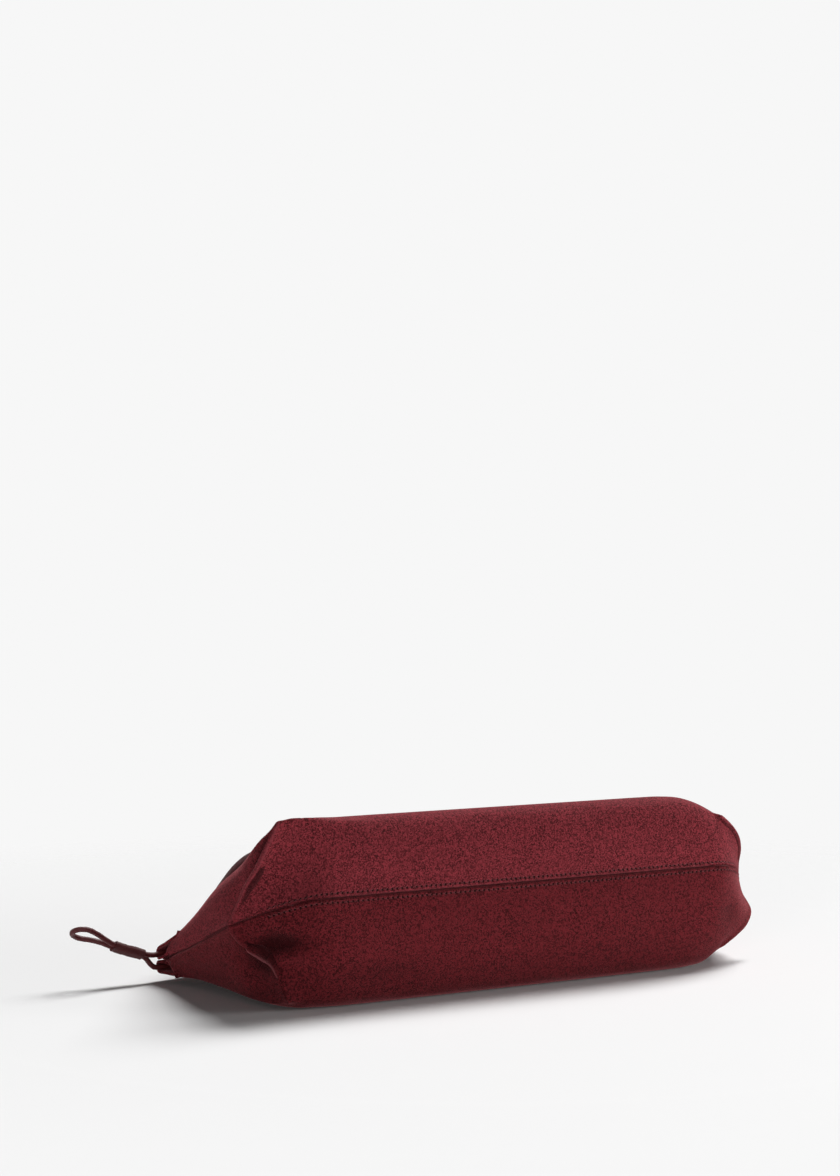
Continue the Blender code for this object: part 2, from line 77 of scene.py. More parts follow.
class Side(Enum):
    """The bag's two suede halves, with the way their normals face along Z."""

    FRONT = 1
    BACK = -1


class Slot(Enum):
    """The record's material slots."""

    SUEDE = "suede"
    LINING = "lining"
    CORD = "cord"
    STRAP = "strap"


# The bag's cut


@dataclass(frozen=True)
class BagSize:
    """The bag's sizes in metres."""

    length: float = 0.314
    height: float = 0.125
    depth: float = 0.090
    suede: float = 0.0013
    lining: float = 0.0006
    hem_width: float = 0.019
    mouth_gap: float = 0.013
    end_softness: float = 0.035
    end_fade: float = 1.7
    gusset_bulge: float = 0.003
    gusset_valley: float = 0.0035
    mouth_drop: float = 0.011
    mouth_spread: float = 0.03
    mouth_reach: float = 0.045
    hem_tip: float = 0.02
    hem_notch: float = 0.03
    seat_gap: float = 0.0003
    cord_diameter: float = 0.0028
    tunnel_clearance: float = 0.0006
    lift: float = 0.0045
    lift_height: float = 0.020
    lift_start: float = 0.0
    lift_end: float = 0.105
    lift_right: float = 0.110

    @property
    def scale(self) -> Points:
        """What a share along X, Y and Z is worth."""
        return np.array((self.length / 2, self.height, self.depth))

    @property
    def middle(self) -> Points:
        """The place in the cut that becomes the frame's origin."""
        return np.array((0.0, self.height / 2, 0.0))

    @property
    def hem_line(self) -> float:
        """Where the hem starts, as a share of the height."""
        return (self.height - self.hem_width) / self.height

    @property
    def turn_radius(self) -> float:
        """The radius of the hem's fold round the cord."""
        return self.suede + self.tunnel_clearance + self.cord_diameter / 2

    @property
    def hem_thickness(self) -> float:
        """How thick a folded hem is."""
        return 2 * self.turn_radius


SIZE = BagSize()

# Where the side seams end between the hems, as shares of the height and the depth
SEAM_END = (
    (SIZE.height - SIZE.hem_thickness) / SIZE.height - 0.002,
    (SIZE.hem_thickness + SIZE.seat_gap) / SIZE.depth + 0.006,
)
SIDE_SEAMS = (
    ((-0.997, 0.24, 0.394), (-0.987, 0.40, 0.32), (-0.975, 0.60, 0.233),
     (-0.965, SIZE.hem_line, 0.133), (-0.965, *SEAM_END)),
    ((1.0, 0.24, 0.422), (0.987, 0.40, 0.335), (0.975, 0.60, 0.24),
     (0.962, SIZE.hem_line, 0.133), (0.962, *SEAM_END)),
)

Shares = tuple[tuple[float, float, float], ...]


@dataclass(frozen=True)
class HalfCut:
    """One half's outlines, as shares of the half length, the height and the depth.

    Tees run from the panel's corners to the points where all four sheets meet, edges from those
    corners to the hem line, and base and panel are the outline halfway along the bag. The dip is
    where the gussets' mouth edges sink beneath the hem.
    """

    side: Side
    tees: tuple[Shares, Shares]
    edges: tuple[Shares, Shares]
    base: Shares
    panel: Shares
    dip: tuple[float, float]


FRONT_CUT = HalfCut(
    side=Side.FRONT,
    tees=(
        ((-0.898, 0.024, 1.0), (-0.914, 0.04, 0.90), (-0.940, 0.08, 0.761),
         (-0.965, 0.144, 0.622), (-0.984, 0.20, 0.50), (-0.997, 0.24, 0.394)),
        ((0.80, 0.04, 0.845), (0.898, 0.08, 0.728), (0.946, 0.136, 0.622),
         (0.981, 0.208, 0.50), (1.0, 0.24, 0.422)),
    ),
    edges=(
        ((-0.898, 0.024, 1.0), (-0.927, 0.072, 0.90), (-0.936, 0.16, 0.816),
         (-0.943, 0.48, 0.556), (-0.962, SIZE.hem_line, 0.244)),
        ((0.80, 0.04, 0.845), (0.86, 0.12, 0.80), (0.91, 0.30, 0.68), (0.94, 0.55, 0.48),
         (0.958, SIZE.hem_line, 0.244)),
    ),
    base=((0, 0.03, 0.96), (0, 0.0, 0.88), (0, -0.008, 0.73), (0, 0.0, 0.556)),
    panel=((0, 0.03, 0.96), (0, 0.10, 0.99), (0, 0.2, 0.945), (0, 0.4, 0.79), (0, 0.6, 0.615),
           (0, SIZE.hem_line, 0.37)),
    dip=(0.985, 0.115),
)
BACK_CUT = HalfCut(
    side=Side.BACK,
    tees=(
        ((-0.879, 0.020, 0.05), (-0.889, 0.04, 0.12), (-0.908, 0.068, 0.20),
         (-0.955, 0.144, 0.267), (-0.984, 0.208, 0.333), (-0.997, 0.24, 0.394)),
        ((0.815, 0.035, 0.07), (0.905, 0.07, 0.133), (0.975, 0.115, 0.21), (0.994, 0.16, 0.285),
         (0.981, 0.208, 0.361), (1.0, 0.24, 0.422)),
    ),
    edges=(
        ((-0.879, 0.020, 0.05), (-0.892, 0.096, 0.01), (-0.917, 0.24, 0.0), (-0.93, 0.48, 0.0),
         (-0.962, SIZE.hem_line, 0.0)),
        ((0.815, 0.035, 0.07), (0.86, 0.11, 0.02), (0.90, 0.24, 0.0), (0.93, 0.48, 0.0),
         (0.958, SIZE.hem_line, 0.0)),
    ),
    base=((0, -0.008, 0.014), (0, -0.05, 0.11), (0, -0.044, 0.28), (0, 0.0, 0.556)),
    panel=((0, -0.008, 0.014), (0, 0.04, 0.0), (0, 0.2, 0.0), (0, 0.5, 0.0),
           (0, SIZE.hem_line, 0.0)),
    dip=(0.975, 0.095),
)


# Curves and grids


def along_knots(knots: Points, shares: Sequence[float]) -> Points:
    """Points of a smooth curve through knots.

    Args:
        knots: Places, one a row; the first three columns measure the way between them.
        shares: Shares of the whole way, from 0 to 1.

    Returns:
        One point for each share.
    """
    knots = np.array(knots, float)
    strides = np.linalg.norm(np.diff(knots[:, :3], axis=0), axis=1)
    run = np.concatenate([[0], np.cumsum(strides)])
    slopes = np.gradient(knots, run, axis=0)
    at = np.asarray(shares, float) * run[-1]
    cell = np.clip(np.searchsorted(run, at, side="right") - 1, 0, len(run) - 2)
    width = (run[cell + 1] - run[cell])[:, None]
    t = (at - run[cell])[:, None] / width
    rise = knots[cell] * (1 + 2 * t) * (1 - t) ** 2 + knots[cell + 1] * t * t * (3 - 2 * t)
    return rise + width * (slopes[cell] * t * (1 - t) ** 2 - slopes[cell + 1] * t * t * (1 - t))


def between_rows(rows: Points, marks: Points) -> Points:
    """Smoothly fills in rows of points.

    Args:
        rows: Rows of points, with the points' coordinates in the last axis.
        marks: Places counted in rows, such as 2.5 for halfway between the third and the fourth.

    Returns:
        One row for each mark.
    """
    gaps = np.maximum(np.linalg.norm(np.diff(rows, axis=0), axis=-1, keepdims=True), 1e-6)
    chords = np.diff(rows, axis=0) / gaps
    slopes = np.empty_like(rows)
    slopes[1:-1] = (chords[:-1] * gaps[1:] + chords[1:] * gaps[:-1]) / (gaps[:-1] + gaps[1:])
    slopes[0] = (3 * chords[0] - slopes[1]) / 2
    slopes[-1] = (3 * chords[-1] - slopes[-2]) / 2
    cell = np.clip(np.floor(marks).astype(int), 0, len(rows) - 2)
    t = (marks - cell).reshape(-1, *[1] * (rows.ndim - 1))
    start, end, gap = rows[cell], rows[cell + 1], gaps[cell]
    rise = start * (1 + 2 * t) * (1 - t) ** 2 + end * t * t * (3 - 2 * t)
    return rise + gap * (slopes[cell] * t * (1 - t) ** 2 - slopes[cell + 1] * t * t * (1 - t))


def marks_for(counts: Sequence[int], tight_start: bool = False, tight_end: bool = False) -> Points:
    """Places along a row of cells, each split into so many parts.

    Args:
        counts: How many parts each cell has.
        tight_start: Whether the first cell's parts grow from its start.
        tight_end: Whether the last cell's parts shrink towards its end.

    Returns:
        The places, counted in cells, from 0 to the number of cells.
    """
    marks = []
    for cell, count in enumerate(counts):
        parts = np.arange(count) / count
        if tight_start and cell == 0:
            parts = parts**TIGHTNESS
        if tight_end and cell == len(counts) - 1:
            parts = 1 - (1 - parts) ** TIGHTNESS
        marks.extend(cell + parts)
    return np.array([*marks, len(counts)])


def run_along(grid: Points, axis: int) -> Points:
    """How far each point of a grid is from its first row or column, along the grid's lines."""
    strides = np.linalg.norm(np.diff(grid, axis=axis), axis=-1)
    run = np.cumsum(strides, axis=axis)
    return np.concatenate([np.zeros_like(np.take(run, [0], axis)), run], axis=axis)


def run_back(grid: Points, axis: int) -> Points:
    """How far each point of a grid is from its last row or column, along the grid's lines."""
    return np.flip(run_along(np.flip(grid, axis), axis), axis)


def ease(share: Points) -> Points:
    """A smooth step from 0 to 1."""
    share = np.clip(share, 0, 1)
    return share * share * (3 - 2 * share)


def bump(distance: Points, width: float) -> Points:
    """A smooth bump of height 1 that has faded out at about twice its width."""
    return np.exp(-((distance / width) ** 2))


class Net:
    """Quads of several grids, whose points are shared where the grids meet."""

    WELD = 1e-6

    def __init__(self) -> None:
        """Starts an empty net."""
        self._known: dict[tuple[int, ...], int] = {}
        self._places: list[Points] = []
        self.quads: list[Points] = []

    def add(self, grid: Points, flip: bool) -> Points:
        """Adds a grid of points.

        Args:
            grid: Rows of points.
            flip: Whether its quads face the other way.

        Returns:
            The number of each point in the net.
        """
        keys = np.round(grid / self.WELD).astype(int)
        numbers = np.empty(grid.shape[:2], int)
        for at in np.ndindex(numbers.shape):
            key = tuple(keys[at])
            if key not in self._known:
                self._known[key] = len(self._places)
                self._places.append(grid[at])
            numbers[at] = self._known[key]
        corners = [numbers[:-1, :-1], numbers[:-1, 1:], numbers[1:, 1:], numbers[1:, :-1]]
        quads = np.stack([c.ravel() for c in (corners[::-1] if flip else corners)], 1)
        self.quads.append(quads)
        return numbers

    @property
    def points(self) -> Points:
        """The places of all points."""
        return np.array(self._places)

    def links(self) -> Points:
        """Every pair of neighbouring points, once."""
        quads = np.concatenate(self.quads)
        pairs = np.concatenate([quads[:, [k, (k + 1) % 4]] for k in range(4)])
        pairs = np.sort(pairs, axis=1)
        return np.unique(pairs[pairs[:, 0] != pairs[:, 1]], axis=0)


def relaxed(points: Points, links: Points, weight: Points, rounds: int) -> Points:
    """Moves points towards the middle of their neighbours.

    Args:
        points: The places of all points.
        links: Pairs of neighbours.
        weight: How far each point goes in a round, from 0 to 1.
        rounds: How often they move.

    Returns:
        The new places.
    """
    count = np.bincount(links.ravel(), minlength=len(points))[:, None]
    for _ in range(rounds):
        total = np.zeros_like(points)
        np.add.at(total, links[:, 0], points[links[:, 1]])
        np.add.at(total, links[:, 1], points[links[:, 0]])
        points = points + weight[:, None] * (total / np.maximum(count, 1) - points)
    return points


def normals_of(points: Points, quads: Points) -> Points:
    """The normal at each point, as the mean of its faces' normals."""
    a, b, c, d = (points[quads[:, k]] for k in range(4))
    faces = np.cross(c - a, d - b)
    total = np.zeros_like(points)
    for k in range(4):
        np.add.at(total, quads[:, k], faces)
    return total / np.maximum(np.linalg.norm(total, axis=1, keepdims=True), 1e-12)


# The sheets of the bag


@dataclass
class Half:
    """One half's grids: its sheet from the base seam to the hem's raw edge, and two gussets."""

    cut: HalfCut
    sheet: Points
    gussets: list[Points]
    cord: Points


@dataclass(frozen=True)
class Pattern:
    """Cuts both halves of the bag as coarse grids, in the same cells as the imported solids."""

    size: BagSize = SIZE
    length_cells: int = 20
    gusset_cells: int = 5
    turn_cells: int = 4
    hem_cells: int = 3
    ear_cells: int = 5
    smoothing_rounds: int = 2
    panel_rows: tuple[float, ...] = (0.0, 0.05, 0.12, 0.22, 0.36, 0.52, 0.68, 0.84, 1.0)

    def halves(self) -> dict[Side, Half]:
        """Both halves, settled as one surface and with their hems folded."""
        blocks = {cut.side: self._blocks(cut) for cut in (FRONT_CUT, BACK_CUT)}
        net = Net()
        numbers = {
            side: {name: net.add(grid, False) for name, grid in parts.items()
                   if name not in ("hem", "cord")}
            for side, parts in blocks.items()
        }
        points = self._settled(net, numbers)
        made = {}
        for side, parts in blocks.items():
            flap, face = points[numbers[side]["flap"]], points[numbers[side]["face"]]
            sheet = np.concatenate([flap[::-1], face[1:], parts["hem"]])
            gussets = [points[numbers[side][end]] for end in ("left", "right")]
            cut = FRONT_CUT if side is Side.FRONT else BACK_CUT
            made[side] = Half(cut, self._lifted(sheet), [self._lifted(g) for g in gussets],
                              self._lifted(parts["cord"]))
        return made

    def _lifted(self, points: Points) -> Points:
        """The points with the bag resting on its base's lower edge, its mouth off the floor."""
        size = self.size
        by_height = ease(points[..., 2] / size.lift_height)
        by_reach = ease((points[..., 1] - size.lift_start) / (size.lift_end - size.lift_start))
        by_end = ease((points[..., 0] - size.lift_right) / size.lift_height)
        raised = points.copy()
        raised[..., 2] += size.lift * np.maximum(by_height, np.maximum(by_reach, by_end))
        return raised

    def _blocks(self, cut: HalfCut) -> dict[str, Points]:
        """The plain grids of one half, before they settle."""
        shares = np.linspace(0, 1, self.gusset_cells + 1)
        tee = [self._curve(t, shares) for t in cut.tees]
        edge = [self._curve(e, self.panel_rows) for e in cut.edges]
        seam = [self._curve(s, self.panel_rows) for s in SIDE_SEAMS]
        flap = self._lengthwise(tee, self._curve(cut.base, shares))
        face = self._lengthwise(edge, self._curve(cut.panel, self.panel_rows))
        ends = [self._gusset(tee[k], edge[k], seam[k], cut.dip, (-1, 1)[k]) for k in range(2)]
        for grid in (flap, face, *ends):
            grid[..., 2] = np.maximum(grid[..., 2], 0)
        hem, cord = self._hem(face[-1], cut.side.value)
        cord[:, 2] -= self.size.tunnel_clearance - self.size.seat_gap
        for grid in (flap, face, *ends, hem, cord):
            self._draw_in(grid)
        return {"flap": flap, "face": face, "left": ends[0], "right": ends[1], "hem": hem,
                "cord": cord}

    def _curve(self, shares: Shares, steps: Sequence[float]) -> Points:
        """Points of a smooth curve through places given as shares of the bag's size."""
        return along_knots(np.array(shares, float) * self.size.scale, steps)

    def _along_length(self) -> Points:
        """Places along the bag from 0 to 1, closer together near its ends."""
        even = np.linspace(0, 1, self.length_cells + 1)
        return (even + (1 - np.cos(math.pi * even)) / 2) / 2

    def _lengthwise(self, ends: Sequence[Points], middle: Points) -> Points:
        """A sheet between two end curves, which settles to the middle outline near each end."""
        rows = []
        for a, b, m in zip(*ends, middle):
            x = a[0] + (b[0] - a[0]) * self._along_length()
            soft, fade = self.size.end_softness, self.size.end_fade
            near_left = np.clip(1 - (x - a[0]) / soft, 0, 1)[:, None] ** fade
            near_right = np.clip(1 - (b[0] - x) / soft, 0, 1)[:, None] ** fade
            row = m + (a - m) * near_left + (b - m) * near_right
            row[:, 0] = x
            rows.append(row)
        return np.array(rows)

    def _gusset(self, tee: Points, edge: Points, seam: Points, dip: tuple[float, float],
                outward: int) -> Points:
        """Half an end, between its boxed seam, the panel's side edge and the side seam."""
        t = np.array(self.panel_rows)[:, None, None]
        w = np.linspace(0, 1, self.gusset_cells + 1)[None, :, None]
        low = np.array((edge[-1][0], dip[0] * self.size.height, dip[1] * self.size.depth))
        top = edge[-1] * (1 - w[0]) ** 2 + low * 2 * w[0] * (1 - w[0]) + seam[-1] * w[0] ** 2
        ruled = (1 - t) * tee + t * top + (1 - w) * edge[:, None] + w * seam[:, None]
        corners = ((1 - t) * ((1 - w) * tee[0] + w * tee[-1])
                   + t * ((1 - w) * edge[-1] + w * seam[-1]))
        valley = self.size.gusset_valley * np.exp(-(((t - 0.1) / 0.07) ** 2))
        swell = self.size.gusset_bulge * np.sin(math.pi * t) - valley
        grid = ruled - corners
        grid[..., 0] += (outward * np.sin(math.pi * w) * swell * (t > 0))[..., 0]
        return grid

    def _hem(self, line: Points, sign: int) -> tuple[Points, Points]:
        """The mouth edge folded inward round the cord, and the cord's line inside it."""
        size = self.size
        radius, cells = size.turn_radius, self.hem_cells
        share = np.abs(line[:, 0]) / np.abs(line[:, 0]).max()
        gap = size.seat_gap + (size.mouth_gap - size.seat_gap) * (1 - share**2)
        centre = line.copy()
        centre[:, 1] = size.height - radius
        centre[:, 2] = size.hem_thickness + gap + radius if sign > 0 else radius
        reach = centre - line
        reach[:, 0] = 0
        distance = np.linalg.norm(reach, axis=1)
        heading = np.arctan2(reach[:, 2], reach[:, 1]) + np.arcsin(radius / distance) * sign
        out = np.stack([0 * heading, np.cos(heading), np.sin(heading)], 1)
        normal = np.stack([0 * heading, -np.sin(heading), np.cos(heading)], 1) * sign
        straight = np.sqrt(distance**2 - radius**2)[:, None]
        centre[:, 0] *= 1 + size.hem_tip
        rows = []
        for k in range(1, cells + 1):
            row = line + out * straight * k / cells
            row[:, 0] *= 1 + size.hem_tip * k / cells
            rows.append(row)
        for k in range(1, self.turn_cells + 1):
            angle = math.pi * k / self.turn_cells
            rows.append(centre + radius * (normal * math.cos(angle) + out * math.sin(angle)))
        flat = 2 * size.suede + size.seat_gap
        for k in range(cells - 1, -1, -1):
            depth = flat + (size.hem_thickness - flat) * math.sin(math.pi / 2 * k / cells)
            row = line + out * straight * k / cells - normal * depth
            row[:, 0] *= 1 - size.hem_notch + (size.hem_tip + size.hem_notch) * k / cells
            rows.append(row)
        return np.array(rows), centre

    def _draw_in(self, points: Points) -> None:
        """Draws the mouth's ends in towards the base and a little apart, in place."""
        size = self.size
        ends = ease((np.abs(points[..., 0]) - size.length / 2 + size.mouth_reach)
                    / size.mouth_reach)
        pull = ends * ease(1.5 * points[..., 1] / size.height - 0.5)
        points[..., 1] -= size.mouth_drop * pull
        points[..., 0] *= 1 + size.mouth_spread * pull

    def _settled(self, net: Net, numbers: dict[Side, dict[str, Points]]) -> Points:
        """The net's points smoothed, but for the seams, the hem lines and the left ear's fold."""
        held = set(numbers[Side.FRONT]["face"][0, : self.ear_cells])
        for parts in numbers.values():
            flap = parts["flap"]
            held |= {*flap[-1], *flap[:, 0], *flap[:, -1], *parts["face"][-1]}
            for end in (parts["left"], parts["right"]):
                held |= {*end[0], *end[-1], *end[:, -1]}
        points, links = net.points, net.links()
        on_floor = points[:, 2] == 0
        lifted = np.zeros(len(points), bool)
        for a, b in (links.T, links.T[::-1]):
            lifted[a[~on_floor[b]]] = True
        flat = on_floor & ~lifted
        weight = np.full(len(points), 0.5)
        weight[list(held)] = 0
        for _ in range(self.smoothing_rounds):
            points = relaxed(points, links, weight, 1)
            points[flat, 2] = 0
        return points


# The fine sheets


@dataclass(frozen=True)
class Detail:
    """How many parts each coarse cell of a half is split into."""

    flap: tuple[int, ...] = (14, 6, 6, 6, 7)
    face: tuple[int, ...] = (8, 7, 8, 8, 8, 8, 8, 9)
    hem: tuple[int, ...] = (4, 4, 4, 4, 4, 4, 4, 3, 3, 3)
    length: tuple[int, ...] = (16, 9, *(9,) * 16, 9, 16)
    tight: bool = True


PLAIN_DETAIL = Detail(
    flap=(3,) * 5, face=(3,) * 8, hem=(), length=(3,) * 20, tight=False
)


@dataclass(frozen=True)
class Dent:
    """A soft hollow, or a swelling where its depth is below zero, in the frame's metres."""

    place: tuple[float, float, float]
    radii: tuple[float, float, float]
    depth: float

    def at(self, points: Points) -> Points:
        """How deep it is at each point."""
        away = (points - np.array(self.place)) / np.array(self.radii)
        return self.depth * np.exp(-(away**2).sum(-1))


@dataclass(frozen=True)
class Push:
    """A soft shift of the leather near one place, in the frame's metres."""

    place: tuple[float, float, float]
    radii: tuple[float, float, float]
    way: tuple[float, float, float]

    def at(self, points: Points) -> Points:
        """How far each point moves."""
        away = (points - np.array(self.place)) / np.array(self.radii)
        return np.exp(-(away**2).sum(-1))[..., None] * np.array(self.way)


@dataclass(frozen=True)
class Relief:
    """How far the suede stands out from its plain cut, in metres, and how much paler or darker its
    colour is painted.
    """

    seam_groove: float = 0.0010
    seam_groove_width: float = 0.0007
    seam_puff: float = 0.00035
    seam_puff_at: float = 0.00135
    seam_puff_width: float = 0.0008
    stitch_dip: float = 0.00025
    stitch_dip_width: float = 0.0006
    ridge: float = 0.0011
    ridge_at: float = 0.0004
    ridge_width: float = 0.0034
    ridge_foot: float = 0.0007
    valley: float = 0.0034
    valley_at: float = 0.0032
    side_groove: float = 0.0009
    side_groove_width: float = 0.0007
    side_puff: float = 0.0004
    side_puff_at: float = 0.0020
    side_puff_width: float = 0.0013
    hem_dip: float = 0.0004
    hem_dip_width: float = 0.0010
    clear_of_side: float = 0.006
    clear_of_fold: float = 0.0035
    clear_of_seam: float = 0.02
    wave: float = 0.0004
    wave_length: float = 0.055
    wave_count: int = 7
    seed: int = 7
    # Painted shade: dents are painted darker and swellings paler, by their depth over this.
    dent_shade_depth: float = 0.0028
    # Painted shade along the seams and in the valleys beside the boxed corners.
    seam_shade: float = 0.5
    side_shade: float = 0.9
    shade_width: float = 0.0005
    valley_shade: float = 2.0
    # Paler along each ridge crest: rubbed nap and a painted highlight.
    ridge_rub_and_highlight: float = 1.2
    ridge_rub_and_highlight_at: float = 0.0005
    ridge_rub_and_highlight_width: float = 0.0006
    # Painted shade darkening the back half towards the floor, fading out at this height.
    low_shade: float = 0.42
    low_shade_height: float = 0.034
    dents: tuple[Dent, ...] = (
        Dent((-0.1405, -0.0535, 0.0335), (0.0150, 0.0100, 0.0042), 0.0044),
        Dent((-0.1350, -0.0590, 0.0260), (0.0130, 0.0080, 0.0040), -0.0012),
        Dent((-0.1460, -0.0460, 0.0235), (0.0070, 0.0100, 0.0060), 0.0044),
        Dent((-0.1480, -0.0300, 0.0125), (0.0060, 0.0110, 0.0050), -0.0016),
        Dent((-0.1265, -0.0630, 0.0605), (0.0120, 0.0080, 0.0100), 0.0011),
        Dent((-0.0900, -0.0640, 0.0175), (0.0200, 0.0080, 0.0060), 0.0012),
        Dent((0.1280, -0.0620, 0.0285), (0.0110, 0.0080, 0.0080), 0.0016),
    )
    pushes: tuple[Push, ...] = (
        Push((-0.1250, -0.0560, 0.0930), (0.0130, 0.0200, 0.0120), (0, 0, 0.0018)),
        Push((-0.1500, -0.0050, 0.0545), (0.0120, 0.0260, 0.0160), (-0.0018, 0, 0.0008)),
        Push((-0.1475, -0.0440, 0.0800), (0.0100, 0.0140, 0.0160), (-0.0022, 0, 0.0012)),
        Push((-0.1450, -0.0520, 0.0880), (0.0100, 0.0100, 0.0110), (-0.0020, 0, 0.0008)),
        Push((-0.1510, -0.0450, 0.0600), (0.0100, 0.0070, 0.0080), (-0.0014, -0.0006, 0)),
    )

    def waves(self, places: Points) -> Points:
        """Gentle swells across the leather, from a few waves in fixed random directions."""
        rng = np.random.default_rng(self.seed)
        total = np.zeros(places.shape[:-1])
        for _ in range(self.wave_count):
            heading = rng.normal(size=3)
            heading *= 2 * math.pi / self.wave_length / np.linalg.norm(heading)
            total += np.sin(places @ heading * rng.uniform(0.7, 1.5) + rng.uniform(0, 6.3))
        return self.wave * total / (self.wave_count / 2)

    def rub_and_shade_on_sheet(self, half: "FineHalf") -> Points:
        """How pale (rubbed nap and painted highlight) or how dark (painted shade) a half's sheet is
        painted.
        """
        base, rise = half.from_seam, half.row_marks[:, None]
        on_flap = ease((half.fold_row + 1.0 - rise) / 1.6)
        # Painted shade along the base seam and in the dents.
        rub_and_shade = -self.seam_shade * bump(base, self.shade_width)
        rub_and_shade -= self._dented(half.sheet) / self.dent_shade_depth
        # Rubbed nap and a painted highlight along each boxed corner's ridge crest.
        for end, away in enumerate(half.from_ends):
            strength = self._tee_strength(half.cut.side, end, rise / half.fold_row) * on_flap
            rub_and_shade += self.ridge_rub_and_highlight * strength * bump(away - self.ridge_rub_and_highlight_at, self.ridge_rub_and_highlight_width)
        return rub_and_shade - self._low_shade(half, half.sheet)

    def _dented(self, points: Points) -> Points:
        """How deep the dents are at points of the cut."""
        return sum(dent.at(points - SIZE.middle) for dent in self.dents)

    def _low_shade(self, half: "FineHalf", points: Points) -> Points:
        """How much painted shade darkens the back half towards the floor."""
        fading = 1 - ease(points[..., 2] / self.low_shade_height)
        return self.low_shade * fading * (half.cut.side is Side.BACK)

    def rub_and_shade_on_gusset(self, half: "FineHalf", end: int) -> Points:
        """How dark one of a half's gussets is painted: painted shade in its valley, seam and dents.
        """
        grid = half.gussets[end]
        seam = run_back(grid, 1)
        # Painted shade in the valley beside the ridge and along the side seam.
        shade = self.valley_shade * self._valley_shape(half, end) * ease(seam / self.clear_of_side)
        rub_and_shade = -shade - self.side_shade * bump(seam, self.shade_width)
        return rub_and_shade - self._low_shade(half, grid) - self._dented(grid) / self.dent_shade_depth

    def _valley_shape(self, half: "FineHalf", end: int) -> Points:
        """The valley beside a boxed corner's ridge, 1 where it is deepest."""
        grid = half.gussets[end]
        tee, from_fold = run_along(grid, 0), run_along(grid, 1)
        share = self._share_to_fold(grid)
        width = self.valley_at * (0.45 + 0.75 * share if end == 0 else 1)
        strength = self._tee_strength(half.cut.side, end, share)
        deep = tee / width * np.exp(1 - tee / width) * strength
        return deep * ease(from_fold / self.clear_of_fold)

    @staticmethod
    def _share_to_fold(grid: Points) -> Points:
        """How far each point of a gusset is from its side seam, as a share of the way."""
        seam = run_back(grid, 1)
        return seam / np.maximum(seam[:, :1], 1e-6)

    def on_sheet(self, half: "FineHalf", fine: bool) -> Points:
        """The height of a half's sheet above its cut."""
        base, rise = half.from_seam, half.row_marks[:, None]
        on_flap = ease((half.fold_row + 1.2 - rise) / 1.6)
        height = self.waves(half.sheet - SIZE.middle) * ease(base / self.clear_of_seam)
        height = height * (rise < half.fold_row) - self._dented(half.sheet)
        if not fine:
            return height
        height -= self.seam_groove * bump(base, self.seam_groove_width)
        height += self.seam_puff * bump(base - self.seam_puff_at, self.seam_puff_width)
        height -= self.stitch_dip * bump(base - half.stitch_row, self.stitch_dip_width)
        height -= self.hem_dip * bump(base - base[half.hem_line_index], self.hem_dip_width)
        for end, away in enumerate(half.from_ends):
            strength = self._tee_strength(half.cut.side, end, rise / half.fold_row) * on_flap
            height += self.ridge * strength * bump(away - self.ridge_at, self.ridge_width)
        return height

    def on_gusset(self, half: "FineHalf", end: int, fine: bool) -> Points:
        """The height of one of a half's gussets above its cut."""
        grid = half.gussets[end]
        tee, seam = run_along(grid, 0), run_back(grid, 1)
        strength = self._tee_strength(half.cut.side, end, self._share_to_fold(grid))
        valley = self.valley * self._valley_shape(half, end) * ease(seam / self.clear_of_side)
        height = -self._dented(grid) - valley
        if not fine:
            return height
        start = math.exp(-((self.ridge_at / self.ridge_width) ** 2))
        height += self.ridge * start * strength * bump(tee, self.ridge_foot)
        height -= self.side_groove * bump(seam, self.side_groove_width)
        height += self.side_puff * bump(seam - self.side_puff_at, self.side_puff_width)
        return height

    @staticmethod
    def _tee_strength(side: Side, end: int, share: Points) -> Points:
        """How strongly a boxed corner's seam stands out, from its apex at 0 to the fold at 1."""
        share = np.clip(share, 0, 1)
        if end == 0 and side is Side.FRONT:
            return (0.60 + 0.55 * ease(share * 1.6 - 0.2)) * (1 - 0.35 * ease(share * 6 - 5))
        if end == 0:
            return 0.85 - 0.82 * ease(share * 1.7 - 0.35)
        return 0.55 + 0.15 * share


@dataclass
class FineHalf:
    """One half in fine cells, with its distances along the leather."""

    cut: HalfCut
    sheet: Points
    gussets: list[Points]
    row_marks: Points
    fold_row: float = 5.0
    hem_row: float = 13.0
    stitch_row: float = 0.0023
    hem_stitch: float = 0.0016

    @property
    def from_seam(self) -> Points:
        """The way from the base seam to each point of the sheet."""
        return run_along(self.sheet, 0)

    @property
    def from_ends(self) -> tuple[Points, Points]:
        """The way from the sheet's left edge, and from its right edge."""
        return run_along(self.sheet, 1), run_back(self.sheet, 1)

    @property
    def hem_line_index(self) -> int:
        """The sheet's row on the hem line, or its last row where it has no hem."""
        return int(np.argmin(np.abs(self.row_marks - self.hem_row)))


